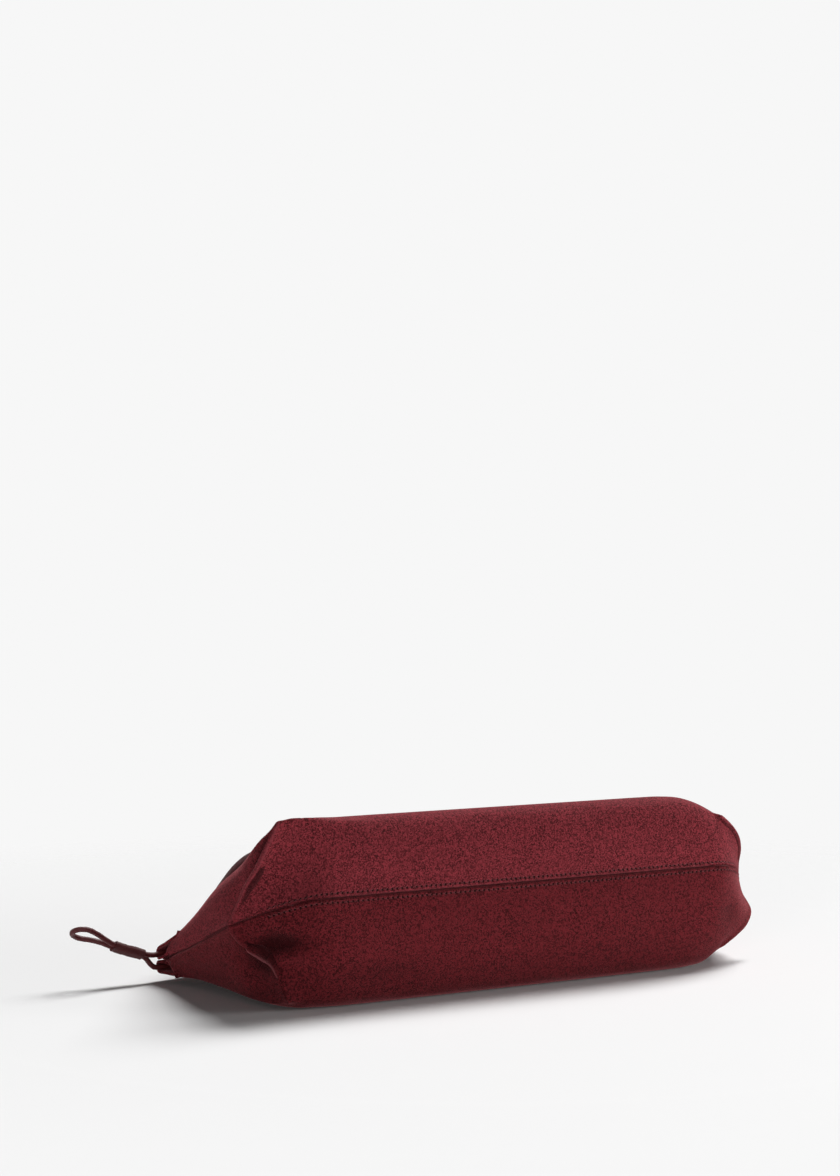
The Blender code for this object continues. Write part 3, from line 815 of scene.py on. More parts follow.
class Skin:
    """The bag's outer surface as one fine net."""

    FOLD_ROUNDS = 8
    FOLD_WIDTH = 0.004
    CORNER_WIDTH = 0.0038
    CORNER_ROUNDS = 36

    def __init__(self, halves: dict[Side, Half], detail: Detail, relief: Relief) -> None:
        """Divides both halves finely, joins them and raises their relief.

        Args:
            halves: The coarse halves.
            detail: How finely each is divided.
            relief: What stands out on the leather.
        """
        self.fine = detail.tight
        self.halves = {side: self._divided(half, detail) for side, half in halves.items()}
        self.net = Net()
        self.numbers: dict[Side, list[Points]] = {}
        self.quads: dict[Side, Points] = {}
        for side, half in self.halves.items():
            first = len(self.net.quads)
            back = side is Side.BACK
            self.numbers[side] = [
                self.net.add(half.sheet, back),
                self.net.add(half.gussets[0], not back),
                self.net.add(half.gussets[1], back),
            ]
            self.quads[side] = np.concatenate(self.net.quads[first:])
        self.links = self.net.links()
        self.points = self._rounded()
        places = self.points - SIZE.middle
        self.points = self.points + sum(push.at(places) for push in relief.pushes)
        self.points[:, 2] = np.maximum(self.points[:, 2], 0)
        self._take_back()
        self.height = self._heights(relief)
        self.normals = normals_of(self.points, self.all_quads)
        self.rub_and_shade = self._rub_and_shade(relief)
        self.points = self.points + self.normals * self.height[:, None]
        self.points[:, 2] = np.maximum(self.points[:, 2], 0)
        self.normals = normals_of(self.points, self.all_quads)

    @property
    def all_quads(self) -> Points:
        """The quads of both halves."""
        return np.concatenate(list(self.quads.values()))

    def _divided(self, half: Half, detail: Detail) -> FineHalf:
        """One half in fine cells, whose gussets meet its sheet exactly."""
        rows = marks_for((*detail.flap, *detail.face, *detail.hem), tight_start=detail.tight)
        columns = marks_for(detail.length, detail.tight, detail.tight)
        coarse = half.sheet if detail.hem else half.sheet[: len(detail.flap + detail.face) + 1]
        sheet = self._filled(coarse, rows, columns)
        fold = sum(detail.flap)
        mouth = fold + sum(detail.face)
        flap_marks = rows[: fold + 1]
        across = len(detail.flap) - flap_marks[::-1]
        down = rows[fold : mouth + 1] - len(detail.flap)
        gussets = []
        for end, column in enumerate((0, -1)):
            grid = self._filled(half.gussets[end], down, across)
            side_way = 1 - across / across[-1]
            grid += (sheet[fold : mouth + 1, column] - grid[:, 0])[:, None] * side_way[:, None] ** 3
            down_way = 1 - down / down[-1]
            grid += (sheet[fold::-1, column] - grid[0])[None] * down_way[:, None, None] ** 3
            grid[:, 0] = sheet[fold : mouth + 1, column]
            grid[0] = sheet[fold::-1, column]
            gussets.append(grid)
        return FineHalf(half.cut, sheet, gussets, rows)

    @staticmethod
    def _filled(coarse: Points, rows: Points, columns: Points) -> Points:
        """A coarse grid filled in at those rows and columns."""
        tall = between_rows(coarse, rows)
        return between_rows(tall.swapaxes(0, 1), columns).swapaxes(0, 1)

    def _rounded(self) -> Points:
        """The net's points, with the soft folds between panel and gussets rounded."""
        weight = np.zeros(len(self.net.points))
        for side, half in self.halves.items():
            sheet, left, right = self.numbers[side]
            rise = half.row_marks[:, None]
            clear = ease((rise - half.fold_row) / 1.5) * ease((half.hem_row - rise) / 0.5)
            for away in half.from_ends:
                weight[sheet] = np.maximum(weight[sheet], bump(away, self.FOLD_WIDTH) * clear)
            shown = (half.row_marks >= half.fold_row) & (half.row_marks <= half.hem_row)
            for numbers, grid in zip((left, right), half.gussets):
                away = run_along(grid, 1)
                near = bump(away, self.FOLD_WIDTH) * clear[shown]
                near[:, -1] = 0
                weight[numbers] = np.maximum(weight[numbers], near)
        return self._corner_rounded(relaxed(self.net.points, self.links, 0.5 * weight,
                                            self.FOLD_ROUNDS))

    def _corner_rounded(self, points: Points) -> Points:
        """The points, with the left ear's sharp corner worn round."""
        near = np.linalg.norm(points - points[self.numbers[Side.FRONT][0][self._fold_index(), 0]],
                              axis=1)
        links = self.links[near[self.links].max(axis=1) < 3 * self.CORNER_WIDTH]
        return relaxed(points, links, 0.7 * bump(near, self.CORNER_WIDTH), self.CORNER_ROUNDS)

    def _fold_index(self) -> int:
        """The front sheet's row on the fold between the base and the panel."""
        half = self.halves[Side.FRONT]
        return int(np.argmin(np.abs(half.row_marks - half.fold_row)))

    def _take_back(self) -> None:
        """Gives every grid the net's present points."""
        for side, half in self.halves.items():
            sheet, left, right = self.numbers[side]
            half.sheet = self.points[sheet]
            half.gussets = [self.points[left], self.points[right]]

    def _heights(self, relief: Relief) -> Points:
        """How far each point stands out."""
        return self._gathered({
            side: [relief.on_sheet(half, self.fine),
                   *(relief.on_gusset(half, end, self.fine) for end in range(2))]
            for side, half in self.halves.items()
        })

    def _rub_and_shade(self, relief: Relief) -> Points:
        """How pale (rubbed nap and painted highlight) or how dark (painted shade) each point is
        painted.
        """
        return self._gathered({
            side: [relief.rub_and_shade_on_sheet(half),
                   *(relief.rub_and_shade_on_gusset(half, end) for end in range(2))]
            for side, half in self.halves.items()
        })

    def _gathered(self, grids: dict[Side, list[Points]]) -> Points:
        """One value for each point, as the mean of what its grids say."""
        total, count = np.zeros(len(self.points)), np.zeros(len(self.points))
        for side, values in grids.items():
            for numbers, value in zip(self.numbers[side], values):
                np.add.at(total, numbers.ravel(), np.broadcast_to(value, numbers.shape).ravel())
                np.add.at(count, numbers.ravel(), 1)
        return total / np.maximum(count, 1)

    def tree(self) -> BVHTree:
        """The skin as a surface that the lining keeps away from."""
        return BVHTree.FromPolygons([Vector(p) for p in self.points], self.all_quads.tolist())

    def seam_points(self) -> Points:
        """The numbers of the points that both halves share."""
        front, back = (np.unique(self.quads[side]) for side in (Side.FRONT, Side.BACK))
        return np.intersect1d(front, back)


def mesh_object(name: str, points: Points, faces: Sequence[Sequence[int]]) -> bpy.types.Object:
    """A smooth mesh object in the scene.

    Args:
        name: The piece's name.
        points: Its points, in the frame's metres.
        faces: The points' numbers for each face.

    Returns:
        The new object.
    """
    mesh = bpy.data.meshes.new(name)
    mesh.from_pydata([tuple(p) for p in points], [], [tuple(map(int, f)) for f in faces])
    mesh.shade_smooth()
    obj = bpy.data.objects.new(name, mesh)
    bpy.context.scene.collection.objects.link(obj)
    return obj


def give_uv(obj: bpy.types.Object, name: str, places: Points) -> None:
    """Gives a mesh a UV map from one place for each of its points."""
    layer = obj.data.uv_layers.new(name=name)
    loops = np.empty(len(obj.data.loops), int)
    obj.data.loops.foreach_get("vertex_index", loops)
    layer.data.foreach_set("uv", np.asarray(places, float)[loops].ravel())


def give_attribute(obj: bpy.types.Object, name: str, values: Points) -> None:
    """Gives a mesh one number for each of its points."""
    layer = obj.data.attributes.new(name, "FLOAT", "POINT")
    layer.data.foreach_set("value", np.asarray(values, float))


def thicken(obj: bpy.types.Object, thickness: float) -> None:
    """Makes a sheet solid, on the side its normals point away from."""
    solid = obj.modifiers.new("thickness", "SOLIDIFY")
    solid.thickness = thickness
    solid.offset = -1
    solid.use_rim = True


def dress(obj: bpy.types.Object, finish: "Finish", slot: Slot, *nodes: str) -> None:
    """Finishes a piece: its material, its body, and hides the solids it stands for."""
    obj.data.materials.clear()
    obj.data.materials.append(finish.material())
    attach(obj, BODY)
    if nodes:
        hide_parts(*nodes)


@dataclass
class SuedePanels:
    """The two suede halves, each with its panel, half the base, two gussets and a hem."""

    skin: Skin
    finishes: dict[Side, "SuedeFinish"]
    size: BagSize = SIZE
    stitching_start: float = 0.021
    pieces: dict[Side, bpy.types.Object] = field(default_factory=dict)

    def build(self) -> None:
        """Makes and dresses both halves."""
        nodes = {Side.FRONT: "front_panel", Side.BACK: "back_panel"}
        for side, node in nodes.items():
            piece = self._half(side, node + "_suede")
            dress(piece, self.finishes[side], Slot.SUEDE, node)
            self.pieces[side] = piece
            log.info("%s: %d quads", piece.name, len(piece.data.polygons))

    def _half(self, side: Side, name: str) -> bpy.types.Object:
        """One half as a sheet with its thickness, its stitching map and its painted rub, highlight
        and shade.
        """
        skin = self.skin
        used = np.unique(skin.quads[side])
        place = np.full(len(skin.points), -1)
        place[used] = np.arange(len(used))
        points = skin.points - self.size.middle
        shared = skin.seam_points()
        points[shared, 2] += side.value * self.size.seat_gap / 2
        piece = mesh_object(name, points[used], place[skin.quads[side]])
        give_uv(piece, "stitching", self._stitching(side)[used])
        # Painted rub, highlight and shade that the suede's colour follows.
        give_attribute(piece, "rub_and_shade_map", np.clip(skin.rub_and_shade, -1, 1)[used])
        thicken(piece, self.size.suede)
        return piece

    def _stitching(self, side: Side) -> Points:
        """For each point, the way along the nearest row of stitches and the way from it."""
        half = self.skin.halves[side]
        places = np.full((len(self.skin.points), 2), (0.0, 1.0))
        base = half.from_seam
        along = run_along(half.sheet[:1], 1)
        to_base = base - half.stitch_row
        to_hem = base - base[half.hem_line_index] - half.hem_stitch
        nearest = np.where(np.abs(to_base) < np.abs(to_hem), to_base, to_hem)
        nearest = np.where(along < self.stitching_start, 1.0, nearest)
        grid = np.stack([np.broadcast_to(along, base.shape), nearest], -1)
        places[self.skin.numbers[side][0]] = grid
        return places



@dataclass
class Lining:
    """The cotton bag inside, sewn to the hems' raw edges."""

    halves: dict[Side, Half]
    suede: BVHTree
    finish: "ClothFinish"
    size: BagSize = SIZE
    inset: float = 0.0022
    give: float = 0.4
    rounds: int = 8
    pulling_rounds: int = 4
    slack: float = 0.0005
    slack_length: float = 0.022
    sight: float = 0.02
    hems_from: float = 0.035

    def build(self) -> None:
        """Makes and dresses the lining as one sheet."""
        skin = Skin(self.halves, PLAIN_DETAIL, Relief(wave=0, valley=0, dents=()))
        quads = skin.all_quads
        ripple = Relief(wave=self.slack, wave_length=self.slack_length, seed=3)
        inset = self.inset + np.abs(ripple.waves(skin.points))
        loose = np.full(len(skin.points), self.give)
        loose[np.concatenate([skin.numbers[side][0][-1] for side in Side])] = 0
        points = skin.points - skin.normals * inset[:, None]
        for _ in range(self.rounds):
            points = self._drawn_in(relaxed(points, skin.links, loose, 1), inset)
        for _ in range(self.pulling_rounds):
            points = self._pulled_in(points, skin.normals, quads)
        points[:, 2] = np.maximum(points[:, 2], self.size.suede + self.size.seat_gap)
        piece = mesh_object("lining_cloth", points - self.size.middle, quads)
        weave = np.stack([points[:, 0], points[:, 1] + points[:, 2]], 1)
        give_uv(piece, "weave", weave)
        thicken(piece, self.size.lining)
        dress(piece, self.finish, Slot.LINING, "lining")
        log.info("%s: %d quads", piece.name, len(piece.data.polygons))

    def _drawn_in(self, points: Points, inset: Points) -> Points:
        """The points, moved inward wherever they come too near to the suede's outside."""
        moved = points.copy()
        for k, (point, away) in enumerate(zip(points, inset)):
            place, normal, _, _ = self.suede.find_nearest(Vector(point))
            short = float((Vector(point) - place).dot(normal)) + away
            if short > 0:
                moved[k] = point - np.array(normal) * short
        return moved

    def _pulled_in(self, points: Points, outward: Points, quads: np.ndarray) -> Points:
        """The points, moved inward wherever a cell lies at or outside the suede.

        Args:
            points: The cloth's points.
            outward: The way out of the bag at each point.
            quads: The cloth's cells, as rows of point numbers.

        Returns:
            The points, moved where they have to be.
        """
        needed = np.zeros(len(points))
        inner = (points - self.size.middle)[:, 1] < self.hems_from
        for cell in quads[inner[quads].all(1)]:
            way = Vector(outward[cell].mean(0))
            hit, normal, _, clear = self.suede.ray_cast(Vector(points[cell].mean(0)), way,
                                                        self.sight)
            lost = hit is None or normal.dot(way) < 0
            short = self.inset if lost else self.inset - clear
            needed[cell] = np.maximum(needed[cell], short)
        return points - outward * needed[:, None]


# Cord, collar and strap


def swept(name: str, centres: Points, wides: Points, normals: Points,
          outline: Sequence[tuple[float, float]]) -> bpy.types.Object:
    """A closed bar with one cross-section along a line, with a UV map in metres.

    Args:
        name: The piece's name.
        centres: The points the line goes through.
        wides: The direction of the outline's first axis at each point.
        normals: The direction of its second axis.
        outline: The cross-section, counter-clockwise.

    Returns:
        The new object, its ends closed.
    """
    shape = np.array(outline)
    rings = (centres[:, None] + wides[:, None] * shape[None, :, :1]
             + normals[:, None] * shape[None, :, 1:])
    count, stations = len(shape), len(centres)
    rings = np.concatenate([rings, rings[:, :1]], 1)
    net = Net()
    numbers = net.add(rings, False)
    quads = list(np.concatenate(net.quads))
    quads += [numbers[0, :count][::-1], numbers[-1, :count]]
    obj = mesh_object(name, net.points, quads)
    along = run_along(centres[:, None], 0)
    around = run_along(np.concatenate([shape, shape[:1]])[None], 1)[:, :count]
    grid = np.stack(np.broadcast_arrays(along, around), -1)
    places = np.zeros((len(net.points), 2))
    places[numbers[:, :count]] = grid
    give_uv(obj, "length", places)
    log.info("%s: %d stations of %d points", name, stations, count)
    return obj


def crossing(centres: Points, wides: Points) -> tuple[Points, Points]:
    """Unit vectors across a line and at right angles to both.

    Args:
        centres: The points the line goes through.
        wides: The rough direction across it at each point.

    Returns:
        The directions across the line, and those at right angles to them.
    """
    along = np.gradient(centres, axis=0)
    along /= np.linalg.norm(along, axis=1)[:, None]
    wides = wides - along * (wides * along).sum(1)[:, None]
    wides /= np.linalg.norm(wides, axis=1)[:, None]
    return wides, np.cross(along, wides)


@dataclass
class Drawstring:
    """The leather cord through both hem tunnels, with its loop at the left end."""

    front: Points
    back: Points
    finish: "LeatherFinish"
    size: BagSize = SIZE
    end_inset: float = 0.006
    reach: float = 0.0475
    width: float = 0.0118
    tilt: float = math.radians(60)
    leaving: float = 0.035
    collar: tuple[float, float] = (0.19, 0.53)
    rise: tuple[tuple[float, float], ...] = (
        (0, 0.0), (0.19, 0.08), (0.53, 0.205), (0.66, 0.275), (0.80, 0.34), (1.0, 0.395)
    )
    shape: tuple[tuple[float, float], ...] = (
        (0.24, 0.40), (0.50, 0.74), (0.76, 1.0), (0.93, 0.68), (1.0, 0.0)
    )
    stations: int = 420
    sides: int = 14

    @property
    def spacing(self) -> float:
        """Half the distance between the strands' centres where they lie side by side."""
        return (self.size.cord_diameter + self.size.seat_gap) / 2

    @property
    def across(self) -> Points:
        """The direction from the loop's axis to its upper strand."""
        return np.array((0, -math.sin(self.tilt), math.cos(self.tilt)))

    def axis(self, shares: Sequence[float]) -> Points:
        """Points midway between the loop's strands, at shares of its reach from the tunnels."""
        start = (self.front[0] + self.back[0]) / 2
        knots = [start + self.reach * np.array((-along, 0, up)) for along, up in self.rise]
        return along_knots(knots, shares)

    def route(self) -> Points:
        """The cord's own line, from the right end of the front tunnel to that of the back."""
        last = self.front[-1][0] - self.end_inset
        upper = self.front[self.front[:, 0] < last][::-1]
        lower = self.back[self.back[:, 0] < last]
        start, end = self.collar
        held = np.linspace(start - self.leaving / 2, end + self.leaving / 2, 5)
        shares = [(s, self.spacing) for s in held]
        shares += [(end + (1 - end) * s, w * self.width / 2) for s, w in self.shape]
        centres = self.axis([s for s, _ in shares])
        going = [c + self.across * w for c, (_, w) in zip(centres, shares)]
        coming = [c - self.across * w for c, (_, w) in zip(centres, shares)]
        straight = self.reach * self.leaving
        heading = upper[-1] - upper[-2]
        out = upper[-1] + straight * heading / np.linalg.norm(heading)
        back = lower[0] + np.array((-straight, 0, 0))
        knots = np.array([*upper, out, *going, *coming[-2::-1], back, *lower])
        return along_knots(knots, np.linspace(0, 1, self.stations)) - self.size.middle

    def build(self) -> bpy.types.Object:
        """Makes and dresses the cord."""
        route = self.route()
        start = np.cross(np.gradient(route, axis=0), (0.0, 0.6, 0.8))
        wides, normals = crossing(route, start)
        turn = np.linspace(0, 2 * math.pi, self.sides, endpoint=False)
        outline = [(self.size.cord_diameter / 2 * math.cos(a),
                    self.size.cord_diameter / 2 * math.sin(a)) for a in turn]
        piece = swept("drawstring_cord", route, wides, normals, outline)
        dress(piece, self.finish, Slot.CORD, "drawstring")
        return piece

    def declare(self) -> None:
        """Works out the cord's route and its first point, and keeps neither."""
        route = self.route()
        tuple(route[0])
        [tuple(p) for p in route]


@dataclass
class LoopCollar:
    """The wound collar that grips both strands, a row of fine ribs."""

    cord: Drawstring
    finish: "LeatherFinish"
    wall: float = 0.00036
    ribs: int = 22
    roundness: float = 0.98
    fullness: float = 0.56

    def build(self) -> bpy.types.Object:
        """Makes the ribs with Geometry Nodes and dresses them."""
        start, end = self.cord.collar
        pitch = self.cord.reach * (end - start) / self.ribs
        shares = np.linspace(start, end, 2 * self.ribs + 1)[1::2]
        centres = self.cord.axis(shares) - self.cord.size.middle
        radius = self.cord.size.cord_diameter / 2 + self.cord.size.seat_gap + self.wall / 2
        ribs = Instances("loop_collar_winding", centres, self.finish)
        tree = ribs.tree
        width = tree.number("Ring Width", 2 * (self.cord.spacing + radius))
        height = tree.number("Ring Height", 2 * radius)
        bend = tree.number("Corner Radius", radius * self.roundness)
        thick = tree.number("Winding Thickness", pitch * self.fullness)
        across = tree.vector("Across", tuple(self.cord.across))
        slot = tree.node("GeometryNodeCurvePrimitiveQuadrilateral", {"Width": width,
                                                                    "Height": height})
        soft = tree.node("GeometryNodeFilletCurve",
                         {"Curve": slot.outputs["Curve"], "Radius": bend, "Limit Radius": True,
                          "Count": 4}, mode="POLY")
        profile = tree.node("GeometryNodeCurvePrimitiveCircle", {"Resolution": 5,
                                                                 "Radius": thick})
        ring = tree.node("GeometryNodeCurveToMesh",
                         {"Curve": soft.outputs["Curve"],
                          "Profile Curve": profile.outputs["Curve"]})
        piece = ribs.placed(ring.outputs["Mesh"], across)
        dress(piece, self.finish, Slot.CORD, "loop_collar")
        log.info("%s: %d ribs", piece.name, self.ribs)
        return piece


@dataclass
class ShoulderStrap:
    """The leather strap, which leaves the mouth, curls over the hem and rests on the panel."""

    panel: BVHTree
    finish: "LeatherFinish"
    size: BagSize = SIZE
    width: float = 0.016
    thickness: float = 0.003
    rounding: float = 0.0008
    exit: float = 0.112
    inside: float = 0.043
    curl_back: float = 0.010
    curl_top: float = 0.062
    stations: int = 260
    seat_rounds: int = 6
    smoothing_rounds: int = 6
    slope_rounds: int = 8
    curl: tuple[tuple[float, ...], ...] = (
        (1.0, 0.12, 0.01, 0.0), (1.0, 0.5, 0.065, 0.0), (0.995, 1.0, 0.22, 0.0),
        (0.985, 0.9, 0.42, 0.03), (0.965, -0.15, 0.66, 0.08), (0.94, -1.1, 0.833, 0.14),
        (0.92, -2.1, 0.944, 0.20), (0.905, -3.1, 1.0, 0.27),
    )
    rest: tuple[tuple[float, ...], ...] = (
        (0.875, 0.664, 0.672, 0.40), (0.83, 0.576, 0.645, 0.60), (0.741, 0.472, 0.735, 0.85),
        (0.59, 0.392, 0.81, 1.10), (0.375, 0.336, 0.85, 1.35), (0.0, 0.308, 0.875, math.pi / 2),
    )

    def build(self) -> bpy.types.Object:
        """Makes and dresses the strap."""
        route, slopes = self._seated()
        wides = np.stack([np.cos(route[:, 3]), np.sin(route[:, 3]), slopes], 1)
        centres = route[:, :3] - self.size.middle
        wides, normals = crossing(centres, wides)
        piece = swept("shoulder_strap_leather", centres, wides, normals, self._outline())
        dress(piece, self.finish, Slot.STRAP, "shoulder_strap")
        return piece

    def _outline(self) -> list[tuple[float, float]]:
        """The strap's cross-section: a band two plies thick, with rounded edges."""
        half, thick, round_off = self.width / 2, self.thickness / 2, self.rounding * 1.4
        corners = ((half, -thick, -90), (half, thick, 0), (-half, thick, 90), (-half, -thick, 180))
        points = []
        for x, y, first in corners:
            centre_x = x - math.copysign(round_off, x)
            centre_y = y - math.copysign(round_off, y)
            for step in range(5):
                angle = math.radians(first + 22.5 * step)
                points.append((centre_x + round_off * math.cos(angle),
                               centre_y + round_off * math.sin(angle)))
            if y * x > 0:
                points += [(x * s, y) for s in (0.6, 0.2, -0.2, -0.6)]
        return points

    def _knots(self) -> Points:
        """The strap's places and turns, from its left end in the mouth to its right end."""
        size = self.size
        on_lining = size.suede + size.lining + 3 * size.seat_gap + self.thickness / 2
        on_hem = size.hem_thickness + 2 * size.seat_gap + self.thickness / 2
        half = [(-self.exit, size.height - self.inside * s, on_lining, 0.0)
                for s in (1, 0.8, 0.6)]
        half += [(-self.exit, size.height - 0.8 * size.hem_width, (on_lining + 3 * on_hem) / 4,
                  0.0),
                 (-self.exit, size.height - size.turn_radius, on_hem, 0.0)]
        half += [(-x * self.exit, size.height + y * self.curl_back,
                  on_hem + z * (self.curl_top - on_hem), turn) for x, y, z, turn in self.curl]
        half += [(-x * self.exit, y * size.height, z * size.depth, turn)
                 for x, y, z, turn in self.rest]
        mirrored = [(-x, y, z, math.pi - turn) for x, y, z, turn in half[-2::-1]]
        return np.array(half + mirrored) + np.array((0, 0, size.lift, 0))

    def _seated(self) -> tuple[Points, Points]:
        """The strap's route lifted to rest on the panel, with its slope across."""
        knots = self._knots()
        route = along_knots(knots, np.linspace(0, 1, self.stations))
        strides = np.linalg.norm(np.diff(knots[:, :3], axis=0), axis=1)
        run = np.concatenate([[0], np.cumsum(strides)])
        furthest = 1 - 2 * run[np.argmax(knots[: len(knots) // 2, 1])] / run[-1]
        free = np.abs(np.linspace(-1, 1, self.stations)) < abs(furthest)
        slopes = np.zeros(len(route))
        for _ in range(self.seat_rounds):
            for k in np.flatnonzero(free):
                need, slope = self._seat(route[k])
                slopes[k] = slope * np.clip(1 - (route[k, 2] - need) / self.thickness, 0, 1)
                route[k, 2] = max(route[k, 2], need)
            for _ in range(self.smoothing_rounds):
                smooth = (route[:-2, 2] + 2 * route[1:-1, 2] + route[2:, 2]) / 4
                higher = np.maximum(smooth, route[1:-1, 2])
                route[1:-1, 2] = np.where(free[1:-1], higher, route[1:-1, 2])
        for _ in range(self.slope_rounds):
            slopes[1:-1] = (slopes[:-2] + 2 * slopes[1:-1] + slopes[2:]) / 4
        return route, slopes

    def _seat(self, place: Points) -> tuple[float, float]:
        """The height and the slope across that the strap needs to clear the panel."""
        x, y, _, turn = place
        offsets = [self.width / 2 * s for s in (-1, -0.5, 0, 0.5, 1)]
        heights = [self._height(x + math.cos(turn) * s, y + math.sin(turn) * s) for s in offsets]
        slope = (heights[-1] - heights[0]) / self.width
        level = max(h - s * slope for h, s in zip(heights, offsets))
        lift = (self.thickness / 2 + self.size.seat_gap) * math.sqrt(1 + 2 * slope**2)
        return level + lift, slope

    def _height(self, x: float, y: float) -> float:
        """How high the panel is above a place in the cut, or 0 beside it."""
        above = Vector((x, y - self.size.height / 2, 2 * self.size.depth))
        hit = self.panel.ray_cast(above, Vector((0, 0, -1)))[0]
        return hit.z if hit else 0.0


# Stitches and other repeated pieces


class Wiring:
    """Adds nodes to a tree and joins them."""

    def __init__(self, tree: bpy.types.NodeTree) -> None:
        """Works on that tree."""
        self.tree = tree

    def node(self, kind: str, inputs: dict[str | int, object] | None = None,
             **settings: object) -> bpy.types.Node:
        """Adds a node.

        Args:
            kind: The node's type.
            inputs: A value or another node's output for each input.
            **settings: The node's own settings.

        Returns:
            The new node.
        """
        made = self.tree.nodes.new(kind)
        for name, value in settings.items():
            setattr(made, name, value)
        for key, value in (inputs or {}).items():
            if isinstance(value, Socket):
                self.tree.links.new(value, made.inputs[key])
            else:
                made.inputs[key].default_value = value
        return made

    def math(self, operation: str, *values: float | Socket) -> Socket:
        """The result of a sum on numbers."""
        return self.node("ShaderNodeMath", dict(enumerate(values)),
                         operation=operation).outputs[0]

    def stretch(self, value: Socket, low: float, high: float, to_low: float = 0.0,
                to_high: float = 1.0) -> Socket:
        """A value moved from one range to another and held inside it."""
        made = self.node("ShaderNodeMapRange", {"Value": value, "From Min": low,
                                                "From Max": high, "To Min": to_low,
                                                "To Max": to_high})
        return made.outputs["Result"]

    def noise(self, vector: Socket, size: float, detail: float = 2.0,
              roughness: float = 0.5) -> Socket:
        """Noise from 0 to 1 whose lumps are about that size in metres."""
        made = self.node("ShaderNodeTexNoise", {"Vector": vector, "Scale": 1 / size,
                                                "Detail": detail, "Roughness": roughness})
        return made.outputs["Fac"]

    def mixed(self, share: float | Socket, first: object, second: object,
              blend: str = "MIX") -> Socket:
        """Two colours mixed by a share."""
        made = self.node("ShaderNodeMix", data_type="RGBA", blend_type=blend)
        for key, value in ((0, share), (6, first), (7, second)):
            if isinstance(value, Socket):
                self.tree.links.new(value, made.inputs[key])
            else:
                made.inputs[key].default_value = value
        return made.outputs[2]


class GeometryTree(Wiring):
    """A Geometry Nodes tree whose sizes are named inputs."""

    def __init__(self, name: str) -> None:
        """Starts a tree that takes geometry in and gives geometry out."""
        super().__init__(bpy.data.node_groups.new(name, "GeometryNodeTree"))
        face = self.tree.interface
        face.new_socket("Geometry", in_out="OUTPUT", socket_type="NodeSocketGeometry")
        face.new_socket("Geometry", in_out="INPUT", socket_type="NodeSocketGeometry")
        self.values: dict[str, object] = {}
        self.into = self.tree.nodes.new("NodeGroupInput")
        self.out = self.tree.nodes.new("NodeGroupOutput")

    def _input(self, name: str, kind: str, value: object) -> Socket:
        """Adds a named input and keeps its value for the modifier."""
        made = self.tree.interface.new_socket(name, in_out="INPUT", socket_type=kind)
        self.values[made.identifier] = value
        return self.into.outputs[name]

    def number(self, name: str, value: float) -> Socket:
        """Adds a named length or number."""
        return self._input(name, "NodeSocketFloat", value)

    def whole(self, name: str, value: int) -> Socket:
        """Adds a named whole number."""
        return self._input(name, "NodeSocketInt", value)

    def vector(self, name: str, value: tuple[float, float, float]) -> Socket:
        """Adds a named direction."""
        return self._input(name, "NodeSocketVector", value)


class Instances:
    """Copies of one small shape along a line of points, made by Geometry Nodes."""

    def __init__(self, name: str, centres: Points, finish: "Finish") -> None:
        """Starts with the line of points that the copies are placed on.

        Args:
            name: The piece's name.
            centres: Where the copies go, in order; a row that is not a number starts a new line.
            finish: What the copies are made of.
        """
        self.name = name
        self.tree = GeometryTree(name)
        self.finish = finish
        broken = np.isnan(centres[:, 0])
        numbers = np.cumsum(~broken) - 1
        mesh = bpy.data.meshes.new(name)
        edges = [(numbers[k], numbers[k + 1]) for k in range(len(centres) - 1)
                 if not broken[k] and not broken[k + 1]]
        mesh.from_pydata([tuple(p) for p in centres[~broken]], edges, [])
        self.host = bpy.data.objects.new(name + "_line", mesh)
        bpy.context.scene.collection.objects.link(self.host)

    def placed(self, shape: Socket, across: Socket, seed: int = 1,
               unevenness: float = 0.04) -> bpy.types.Object:
        """Places the shape on every point, its Z along the line and its X across it.

        Args:
            shape: The output that holds the shape.
            across: The direction its X turns to.
            seed: Picks the small differences in size.
            unevenness: How large they are, as a share.

        Returns:
            The copies as one plain mesh.
        """
        tree = self.tree
        line = tree.node("GeometryNodeMeshToCurve", {"Mesh": tree.into.outputs["Geometry"]})
        spots = tree.node("GeometryNodeCurveToPoints", {"Curve": line.outputs["Curve"]},
                          mode="EVALUATED")
        turned = tree.node("FunctionNodeAxesToRotation",
                           {"Primary Axis": spots.outputs["Tangent"], "Secondary Axis": across},
                           primary_axis="Z", secondary_axis="X")
        uneven = tree.number("Unevenness", unevenness)
        low = tree.math("SUBTRACT", 1.0, uneven)
        high = tree.math("ADD", 1.0, uneven)
        random = tree.node("FunctionNodeRandomValue", {2: low, 3: high,
                                                       "Seed": tree.whole("Seed", seed)},
                           data_type="FLOAT")
        copies = tree.node("GeometryNodeInstanceOnPoints",
                           {"Points": spots.outputs["Points"], "Instance": shape,
                            "Rotation": turned.outputs["Rotation"],
                            "Scale": random.outputs[1]})
        real = tree.node("GeometryNodeRealizeInstances",
                         {"Geometry": copies.outputs["Instances"]})
        finished = tree.node("GeometryNodeSetMaterial",
                             {"Geometry": real.outputs["Geometry"],
                              "Material": self.finish.material()})
        tree.tree.links.new(finished.outputs["Geometry"], tree.out.inputs["Geometry"])
        return self._plain()

    def _plain(self) -> bpy.types.Object:
        """The evaluated copies as a mesh object of their own, without the line and its nodes."""
        nodes = self.host.modifiers.new("copies", "NODES")
        nodes.node_group = self.tree.tree
        for identifier, value in self.tree.values.items():
            nodes[identifier] = value
        graph = bpy.context.evaluated_depsgraph_get()
        mesh = bpy.data.meshes.new_from_object(self.host.evaluated_get(graph), depsgraph=graph)
        mesh.name = self.name
        mesh.shade_smooth()
        obj = bpy.data.objects.new(self.name, mesh)
        bpy.context.scene.collection.objects.link(obj)
        bpy.data.objects.remove(self.host)
        return obj


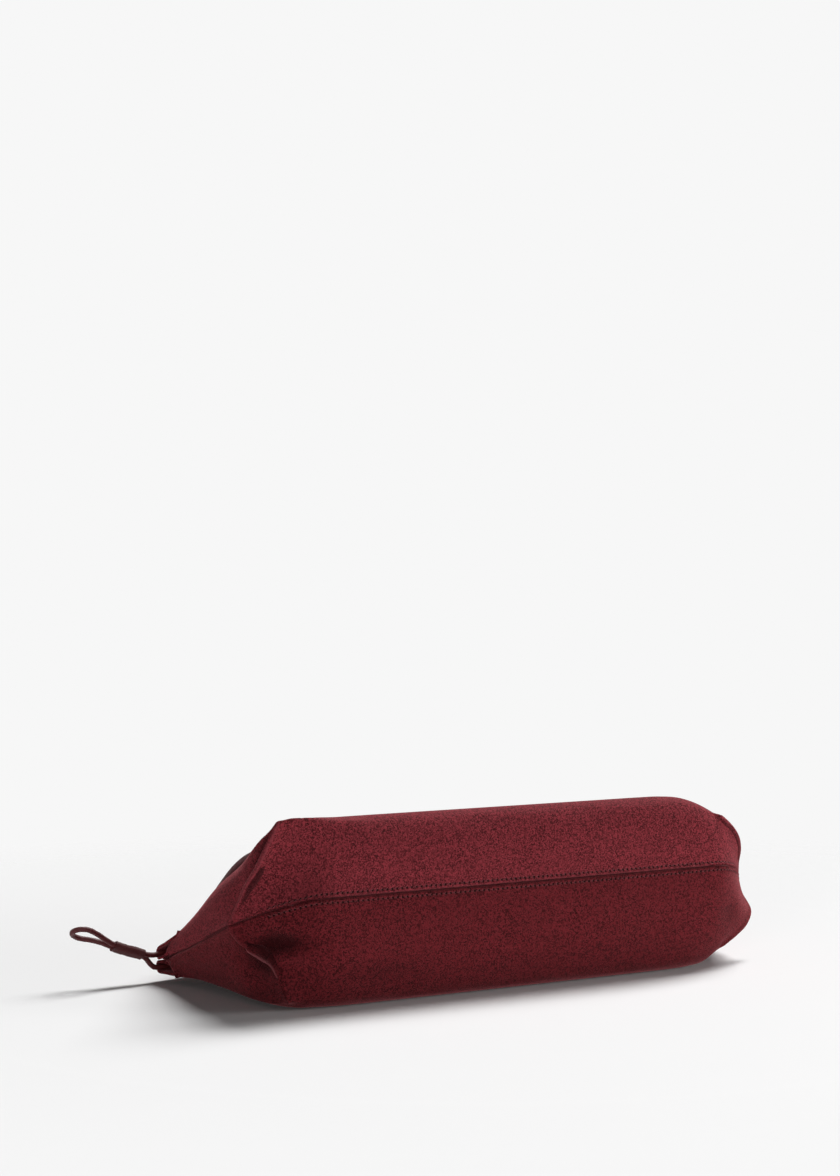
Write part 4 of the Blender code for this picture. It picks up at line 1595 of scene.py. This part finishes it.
@dataclass
class Topstitching:
    """The rows of thread beside the base seam and along both hems."""

    skin: Skin
    finish: "ThreadFinish"
    size: BagSize = SIZE
    pitch: float = 0.0028
    filled: float = 0.62
    thickness: float = 0.00026
    clear_of_ends: float = 0.021

    def build(self) -> None:
        """Makes one piece of thread for each half."""
        for side, name in ((Side.FRONT, "front_topstitching"), (Side.BACK, "back_topstitching")):
            half = self.skin.halves[side]
            sheet = self.skin.points[self.skin.numbers[side][0]]
            base = half.from_seam
            hem = base[half.hem_line_index] + half.hem_stitch
            rows = [self._row(half, sheet, np.full(sheet.shape[1], half.stitch_row)),
                    np.full((1, 3), np.nan), self._row(half, sheet, hem)]
            self._thread(name, np.concatenate(rows) - self.size.middle)

    def _row(self, half: FineHalf, sheet: Points, distance: Points) -> Points:
        """The middle of every stitch in the row that far from the base seam."""
        base = half.from_seam
        columns = np.arange(sheet.shape[1])
        after = np.array([np.searchsorted(base[:, k], distance[k]) for k in columns])
        share = (distance - base[after - 1, columns]) / (base[after, columns]
                                                         - base[after - 1, columns])
        line = (sheet[after - 1, columns] * (1 - share[:, None])
                + sheet[after, columns] * share[:, None])
        along = run_along(half.sheet[:1], 1)[0]
        first = math.ceil(self.clear_of_ends / self.pitch)
        last = int((along[-1] - self.clear_of_ends) / self.pitch)
        at = (np.arange(first, last) + 0.5) * self.pitch
        return np.stack([np.interp(at, along, line[:, k]) for k in range(3)], 1)

    def _thread(self, name: str, centres: Points) -> None:
        """Makes and dresses the stitches of one half."""
        stitches = Instances(name, centres, self.finish)
        tree = stitches.tree
        length = tree.number("Stitch Length", self.pitch * self.filled / 2)
        thick = tree.number("Thread Radius", self.thickness)
        ball = tree.node("GeometryNodeMeshUVSphere", {"Segments": 6, "Rings": 5, "Radius": 1.0})
        size = tree.node("ShaderNodeCombineXYZ", {"X": thick, "Y": thick, "Z": length})
        shape = tree.node("GeometryNodeTransform", {"Geometry": ball.outputs["Mesh"],
                                                    "Scale": size.outputs[0]})
        up = tree.vector("Across", (0.0, 0.0, 1.0))
        piece = stitches.placed(shape.outputs["Geometry"], up, seed=5, unevenness=0.08)
        dress(piece, self.finish, Slot.SUEDE)
        log.info("%s: %d stitches", name, int((~np.isnan(centres[:, 0])).sum()))


# Finishes


class Effects:
    """Shader node groups that several finishes share, with the sizes of what they show."""

    MOTTLE = 0.020
    TUFT = 0.0006
    CLUMP = 0.0010
    FIBRE = 0.0004
    TUFT_SHARE = 0.80
    NAP_SHARE = 0.7
    PEBBLE = 0.0009
    POLISH = 0.006

    @staticmethod
    def _group(name: str, inputs: dict[str, str], outputs: dict[str, str]) -> Wiring:
        """Starts a shader group with those sockets."""
        tree = bpy.data.node_groups.new(name, "ShaderNodeTree")
        for label, kind in inputs.items():
            tree.interface.new_socket(label, in_out="INPUT", socket_type=kind)
        for label, kind in outputs.items():
            tree.interface.new_socket(label, in_out="OUTPUT", socket_type=kind)
        return Wiring(tree)

    @classmethod
    def nap(cls) -> bpy.types.NodeTree:
        """Suede's nap: a mottled tone, a fine speckle and the height of its fibres."""
        known = bpy.data.node_groups.get("suede_nap")
        if known:
            return known
        wiring = cls._group("suede_nap", {"Vector": "NodeSocketVector"},
                            {"Mottle": "NodeSocketFloat", "Speckle": "NodeSocketFloat",
                             "Height": "NodeSocketFloat"})
        place = wiring.node("NodeGroupInput").outputs["Vector"]
        broad = wiring.noise(place, cls.MOTTLE, 4.0, 0.6)
        tufts = wiring.node("ShaderNodeTexVoronoi", {"Vector": place, "Scale": 1 / cls.TUFT})
        clumps = wiring.noise(place, cls.CLUMP, 1.0, 0.6)
        coarse = wiring.math("MULTIPLY", tufts.outputs["Color"], cls.TUFT_SHARE)
        fine = wiring.math("ADD", coarse, wiring.math("MULTIPLY", clumps, 1 - cls.TUFT_SHARE))
        fibre = wiring.noise(place, cls.FIBRE, 2.0, 0.6)
        out = wiring.node("NodeGroupOutput")
        height = wiring.math("ADD", wiring.math("MULTIPLY", fine, cls.NAP_SHARE),
                             wiring.math("MULTIPLY", fibre, 1 - cls.NAP_SHARE))
        for value, name in ((wiring.stretch(broad, 0.3, 0.7), "Mottle"),
                            (wiring.stretch(fine, 0.30, 0.70), "Speckle"), (height, "Height")):
            wiring.tree.links.new(value, out.inputs[name])
        return wiring.tree

    @classmethod
    def grain(cls) -> bpy.types.NodeTree:
        """Smooth leather's grain: small pebbles with creases between them."""
        known = bpy.data.node_groups.get("leather_grain")
        if known:
            return known
        wiring = cls._group("leather_grain", {"Vector": "NodeSocketVector"},
                            {"Tone": "NodeSocketFloat", "Height": "NodeSocketFloat"})
        place = wiring.node("NodeGroupInput").outputs["Vector"]
        cells = wiring.node("ShaderNodeTexVoronoi", {"Vector": place, "Scale": 1 / cls.PEBBLE},
                            feature="DISTANCE_TO_EDGE").outputs["Distance"]
        pebbles = wiring.stretch(cells, 0.0, 0.35)
        tone = wiring.noise(place, cls.POLISH, 3.0, 0.6)
        out = wiring.node("NodeGroupOutput")
        wiring.tree.links.new(tone, out.inputs["Tone"])
        wiring.tree.links.new(pebbles, out.inputs["Height"])
        return wiring.tree

    @classmethod
    def needle_holes(cls) -> bpy.types.NodeTree:
        """Where a needle went through: 1 inside each hole of a row, 0 away from it."""
        known = bpy.data.node_groups.get("needle_holes")
        if known:
            return known
        wiring = cls._group("needle_holes",
                            {"Stitching": "NodeSocketVector", "Pitch": "NodeSocketFloat",
                             "Radius": "NodeSocketFloat"}, {"Mask": "NodeSocketFloat"})
        into = wiring.node("NodeGroupInput").outputs
        parts = wiring.node("ShaderNodeSeparateXYZ", {0: into["Stitching"]})
        count = wiring.math("DIVIDE", parts.outputs["X"], into["Pitch"])
        off = wiring.math("SUBTRACT", count, wiring.math("ROUND", count))
        along = wiring.math("MULTIPLY", off, into["Pitch"])
        place = wiring.node("ShaderNodeCombineXYZ", {"X": along, "Y": parts.outputs["Y"]})
        away = wiring.node("ShaderNodeVectorMath", {0: place.outputs[0]},
                           operation="LENGTH").outputs["Value"]
        share = wiring.math("DIVIDE", away, into["Radius"])
        mask = wiring.stretch(share, 0.45, 1.0, 1.0, 0.0)
        wiring.tree.links.new(mask, wiring.node("NodeGroupOutput").inputs["Mask"])
        return wiring.tree

    @classmethod
    def weave(cls) -> bpy.types.NodeTree:
        """Plain weave from a map in metres: threads over and under one another."""
        known = bpy.data.node_groups.get("plain_weave")
        if known:
            return known
        wiring = cls._group("plain_weave", {"Map": "NodeSocketVector",
                                            "Thread": "NodeSocketFloat"},
                            {"Height": "NodeSocketFloat"})
        into = wiring.node("NodeGroupInput").outputs
        parts = wiring.node("ShaderNodeSeparateXYZ", {0: into["Map"]})
        turns = [wiring.math("DIVIDE", wiring.math("MULTIPLY", parts.outputs[axis], math.pi),
                             into["Thread"]) for axis in ("X", "Y")]
        wave = wiring.math("MULTIPLY", *(wiring.math("SINE", t) for t in turns))
        height = wiring.stretch(wave, -1.0, 1.0)
        wiring.tree.links.new(height, wiring.node("NodeGroupOutput").inputs["Height"])
        return wiring.tree


@dataclass(frozen=True)
class Finish:
    """What a surface is made of."""

    name: str
    colour: tuple[float, float, float]
    roughness: float

    def material(self) -> bpy.types.Material:
        """The finish as a material, made the first time it is asked for."""
        known = bpy.data.materials.get(self.name)
        if known:
            return known
        made = bpy.data.materials.new(self.name)
        made.use_nodes = True
        shader = made.node_tree.nodes["Principled BSDF"]
        shader.inputs["Base Color"].default_value = (*self.colour, 1)
        shader.inputs["Roughness"].default_value = self.roughness
        shader.inputs["Metallic"].default_value = 0
        self.shade(Wiring(made.node_tree), shader)
        return made

    def shade(self, wiring: Wiring, shader: bpy.types.Node) -> None:
        """Adds what makes this finish more than a plain colour."""

    @staticmethod
    def use(wiring: Wiring, group: bpy.types.NodeTree, inputs: dict[str, object]) -> object:
        """Adds a shared effect and gives its outputs."""
        made = wiring.node("ShaderNodeGroup")
        made.node_tree = group
        for name, value in inputs.items():
            if isinstance(value, Socket):
                wiring.tree.links.new(value, made.inputs[name])
            else:
                made.inputs[name].default_value = value
        return made.outputs

    @staticmethod
    def rough_up(wiring: Wiring, shader: bpy.types.Node, height: Socket, depth: float) -> None:
        """Lets the light see a height map."""
        made = wiring.node("ShaderNodeBump", {"Height": height, "Distance": depth,
                                              "Strength": 1.0})
        wiring.tree.links.new(made.outputs["Normal"], shader.inputs["Normal"])

    @staticmethod
    def tone(colour: Sequence[float], factor: float) -> tuple[float, float, float, float]:
        """A lighter or darker tone of a colour."""
        return (*(min(c * factor, 1.0) for c in colour[:3]), 1.0)


@dataclass(frozen=True)
class SuedeFinish(Finish):
    """Brushed suede: a soft nap, paler on ridges from rubbed nap and a painted highlight, with
    painted shade in hollows, seams and needle holes.
    """

    pitch: float = 0.0028
    hole: float = 0.00085
    sheen: float = 0.35
    nap_depth: float = 0.0004
    tufts: tuple[float, float] = (0.30, 1.85)
    mottle: tuple[float, float] = (0.22, 1.3)
    # Rubbed nap and painted highlight on ridges, and painted shade in hollows.
    rub_and_highlight: tuple[float, float] = (0.55, 1.9)
    rub_and_highlight_tint: tuple[float, float, float] = (1.0, 1.5, 1.4)
    shaded: tuple[float, float] = (0.85, 0.22)
    # Needle holes are painted dark: painted shade inside each hole.
    hole_shade: float = 0.12
    hole_depth: float = 2.0
    sheen_tint: tuple[float, float, float] = (1.0, 0.30, 0.33)

    def shade(self, wiring: Wiring, shader: bpy.types.Node) -> None:
        """Wires the nap, the painted rub, highlight and shade, and the needle holes."""
        place = wiring.node("ShaderNodeTexCoord").outputs["Object"]
        nap = self.use(wiring, Effects.nap(), {"Vector": place})
        dark, light = (self.tone(self.colour, factor) for factor in self.tufts)
        base = wiring.mixed(nap["Speckle"], dark, light)
        soft = wiring.mixed(wiring.stretch(nap["Mottle"], 0, 1, 0, self.mottle[0]), base,
                            self.tone(self.colour, self.mottle[1]))
        # Paler with rubbed nap and painted highlight on ridges; darker with painted shade in seams,
        # valleys, dents and towards the floor.
        rub_and_shade_map = wiring.node("ShaderNodeAttribute", attribute_name="rub_and_shade_map").outputs["Fac"]
        tinted = tuple(part * tint for part, tint in zip(self.colour, self.rub_and_highlight_tint))
        pale = wiring.mixed(wiring.stretch(rub_and_shade_map, 0.1, 1.0, 0.0, self.rub_and_highlight[0]), soft,
                            self.tone(tinted, self.rub_and_highlight[1]))
        deep = wiring.mixed(wiring.stretch(rub_and_shade_map, -0.05, -1.0, 0.0, self.shaded[0]), pale,
                            self.tone(self.colour, self.shaded[1]))
        stitching = wiring.node("ShaderNodeUVMap", uv_map="stitching").outputs["UV"]
        holes = self.use(wiring, Effects.needle_holes(),
                         {"Stitching": stitching, "Pitch": self.pitch, "Radius": self.hole})
        # Painted shade inside the needle holes.
        pierced = wiring.mixed(holes["Mask"], deep, self.tone(self.colour, self.hole_shade))
        wiring.tree.links.new(pierced, shader.inputs["Base Color"])
        height = wiring.math("SUBTRACT", nap["Height"],
                             wiring.math("MULTIPLY", holes["Mask"], self.hole_depth))
        self.rough_up(wiring, shader, height, self.nap_depth)
        shader.inputs["Sheen Weight"].default_value = self.sheen
        shader.inputs["Sheen Roughness"].default_value = 0.35
        shader.inputs["Sheen Tint"].default_value = (*self.sheen_tint, 1)
        shader.inputs["Specular IOR Level"].default_value = 0.1


@dataclass(frozen=True)
class LeatherFinish(Finish):
    """Smooth leather with a fine grain."""

    grain_depth: float = 0.00006
    gloss: float = 0.28

    def shade(self, wiring: Wiring, shader: bpy.types.Node) -> None:
        """Wires the grain and an uneven polish."""
        place = wiring.node("ShaderNodeTexCoord").outputs["Object"]
        grain = self.use(wiring, Effects.grain(), {"Vector": place})
        colour = wiring.mixed(grain["Tone"], self.tone(self.colour, 0.8),
                              self.tone(self.colour, 1.25))
        wiring.tree.links.new(colour, shader.inputs["Base Color"])
        polish = wiring.stretch(grain["Tone"], 0.3, 0.7, self.roughness - 0.06,
                                self.roughness + 0.06)
        wiring.tree.links.new(polish, shader.inputs["Roughness"])
        self.rough_up(wiring, shader, grain["Height"], self.grain_depth)
        shader.inputs["Specular IOR Level"].default_value = self.gloss


@dataclass(frozen=True)
class ClothFinish(Finish):
    """Plain woven cotton."""

    thread: float = 0.0005
    weave_depth: float = 0.0001
    sheen: float = 0.1

    def shade(self, wiring: Wiring, shader: bpy.types.Node) -> None:
        """Wires the weave, with painted shade where the threads dip under."""
        cloth = wiring.node("ShaderNodeUVMap", uv_map="weave").outputs["UV"]
        weave = self.use(wiring, Effects.weave(), {"Map": cloth, "Thread": self.thread})
        # Painted shade: the threads are darker where they dip and paler where they rise.
        colour = wiring.mixed(weave["Height"], self.tone(self.colour, 0.75),
                              self.tone(self.colour, 1.2))
        wiring.tree.links.new(colour, shader.inputs["Base Color"])
        self.rough_up(wiring, shader, weave["Height"], self.weave_depth)
        shader.inputs["Sheen Weight"].default_value = self.sheen
        shader.inputs["Sheen Tint"].default_value = (1.0, 0.4, 0.4, 1)


@dataclass(frozen=True)
class ThreadFinish(Finish):
    """Twisted sewing thread."""

    def shade(self, wiring: Wiring, shader: bpy.types.Node) -> None:
        """Wires a fine twist."""
        place = wiring.node("ShaderNodeTexCoord").outputs["Object"]
        twist = wiring.noise(place, 0.0002, 1.0)
        self.rough_up(wiring, shader, twist, 0.00005)


SUEDE = SuedeFinish("burgundy_suede", (0.150, 0.0185, 0.0245), 0.95)
# A darker copy of the suede for the back half: painted shade of the lower half.
LOWER_SUEDE = SuedeFinish("burgundy_suede_shaded_copy", (0.105, 0.0105, 0.0140), 0.95)
COTTON = ClothFinish("burgundy_cotton", (0.10, 0.018, 0.022), 0.85)
CORD_LEATHER = LeatherFinish("cord_leather", (0.072, 0.0085, 0.0095), 0.50)
WINDING = LeatherFinish("winding_leather", (0.066, 0.0085, 0.0095), 0.55)
STRAP_LEATHER = LeatherFinish("strap_leather", (0.085, 0.016, 0.020), 0.45)
THREAD = ThreadFinish("burgundy_thread", (0.12, 0.014, 0.018), 0.8)


# The studio


@dataclass
class Studio:
    """The camera, the lamps, the pale floor and the white surround."""

    camera_place: tuple[float, float, float] = (-0.6255, -1.0325, 0.2195)
    heading: float = math.radians(30)
    pitch_down: float = math.radians(0.713)
    lens: float = 68.9
    sensor: float = 36.0
    floor_half: float = 1.6
    floor_fade: tuple[float, float] = (0.30, 0.62)
    floor_drop: float = 0.0002
    ambient: float = 0.05

    def place_camera(self) -> None:
        """Puts the camera where the photograph was taken from."""
        data = bpy.data.cameras.new("camera")
        data.lens = self.lens
        data.sensor_width = self.sensor
        data.clip_start, data.clip_end = 0.05, 20
        camera = bpy.data.objects.new("camera", data)
        camera.location = self.camera_place
        camera.rotation_euler = (math.pi / 2 - self.pitch_down, 0, -self.heading)
        bpy.context.scene.collection.objects.link(camera)
        bpy.context.scene.camera = camera

    def light(self) -> None:
        """Hangs the soft lamps and sets the surround."""
        self._sun("high_lamp", (0.45, 0.30, 1.0), 1.68, math.radians(18))
        self._sun("middle_lamp", (0.90, 0.30, 1.0), 1.64, math.radians(26))
        self._lamp("right_fill", (1.15, -0.9, 0.16), (0, 0, 0.05), 0.6, 13.2)
        self._lamp("left_fill", (-1.5, -1.4, 0.20), (0, 0, 0.05), 0.4, 8.5)
        self._surround(self.ambient)

    @staticmethod
    def _sun(name: str, towards: tuple[float, float, float], power: float,
             width: float) -> None:
        """Adds one broad far lamp, seen in that direction."""
        data = bpy.data.lights.new(name, "SUN")
        data.energy = power
        data.angle = width
        lamp = bpy.data.objects.new(name, data)
        lamp.rotation_euler = Vector(towards).to_track_quat("Z", "Y").to_euler()
        bpy.context.scene.collection.objects.link(lamp)

    @staticmethod
    def _lamp(name: str, place: tuple[float, float, float], aim: tuple[float, float, float],
              size: float, power: float) -> None:
        """Adds one square soft lamp that faces a point."""
        data = bpy.data.lights.new(name, "AREA")
        data.shape = "SQUARE"
        data.size = size
        data.energy = power
        lamp = bpy.data.objects.new(name, data)
        lamp.location = place
        lamp.rotation_euler = (Vector(place) - Vector(aim)).to_track_quat("Z", "Y").to_euler()
        bpy.context.scene.collection.objects.link(lamp)

    @staticmethod
    def _surround(ambient: float) -> None:
        """A white world that the camera sees, and a dimmer one that lights the bag."""
        world = bpy.data.worlds.new("surround")
        world.use_nodes = True
        wiring = Wiring(world.node_tree)
        background = world.node_tree.nodes["Background"]
        path = wiring.node("ShaderNodeLightPath").outputs
        seen = wiring.math("MAXIMUM", path["Is Camera Ray"],
                           wiring.math("MAXIMUM", path["Is Glossy Ray"],
                                       path["Is Transmission Ray"]))
        strength = wiring.stretch(seen, 0, 1, ambient, 1.0)
        background.inputs["Color"].default_value = BACKGROUND
        wiring.tree.links.new(strength, background.inputs["Strength"])
        bpy.context.scene.world = world

    def lay_floor(self) -> None:
        """Lays a pale floor that fades into the surround away from the bag."""
        half = self.floor_half
        corners = [(-half, -half, 0), (half, -half, 0), (half, half, 0), (-half, half, 0)]
        floor = mesh_object("studio_floor", np.array(corners), [(0, 1, 2, 3)])
        floor.location.z = -self.floor_drop
        material = bpy.data.materials.new("pale_floor")
        material.use_nodes = True
        wiring = Wiring(material.node_tree)
        shader = material.node_tree.nodes["Principled BSDF"]
        place = wiring.node("ShaderNodeTexCoord").outputs["Object"]
        away = wiring.node("ShaderNodeVectorMath", {0: place}, operation="LENGTH")
        near = wiring.stretch(away.outputs["Value"], *self.floor_fade, 1.0, 0.0)
        wiring.tree.links.new(near, shader.inputs["Alpha"])
        shader.inputs["Base Color"].default_value = BACKGROUND

        shader.inputs["Roughness"].default_value = 1.0
        shader.inputs["Specular IOR Level"].default_value = 0.0
        floor.data.materials.append(material)
        floor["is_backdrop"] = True


def panel_tree(piece: bpy.types.Object) -> BVHTree:
    """What a strap laid on a piece meets."""
    mesh = piece.data
    return BVHTree.FromPolygons([v.co for v in mesh.vertices],
                                [tuple(p.vertices) for p in mesh.polygons])


def write_sizes(packed: tuple[Vector, Vector]) -> None:
    """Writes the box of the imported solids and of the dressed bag."""
    boxes = {"packed": packed, "dressed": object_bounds()}
    lists = {name: [list(corner) for corner in box] for name, box in boxes.items()}
    log.info("sizes: %s", lists)


def main() -> None:
    """Builds the bag and its studio, piece by piece."""
    logging.basicConfig(level=logging.INFO, format="%(name)s: %(message)s")
    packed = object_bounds()
    studio = Studio()
    studio.place_camera()
    bpy.context.scene.view_settings.view_transform = "Standard"

    halves = Pattern().halves()
    drawstring = Drawstring(halves[Side.FRONT].cord, halves[Side.BACK].cord, CORD_LEATHER)
    cord = drawstring.build()
    collar = LoopCollar(drawstring, WINDING).build()
    drawstring.declare()

    skin = Skin(halves, Detail(), Relief())
    panels = SuedePanels(skin, {Side.FRONT: SUEDE, Side.BACK: LOWER_SUEDE})
    panels.build()
    Lining(halves, skin.tree(), COTTON).build()
    ShoulderStrap(panel_tree(panels.pieces[Side.FRONT]), STRAP_LEATHER).build()
    Topstitching(skin, THREAD).build()

    studio.light()
    studio.lay_floor()
    write_sizes(packed)


if __name__ == "__main__":
    main()
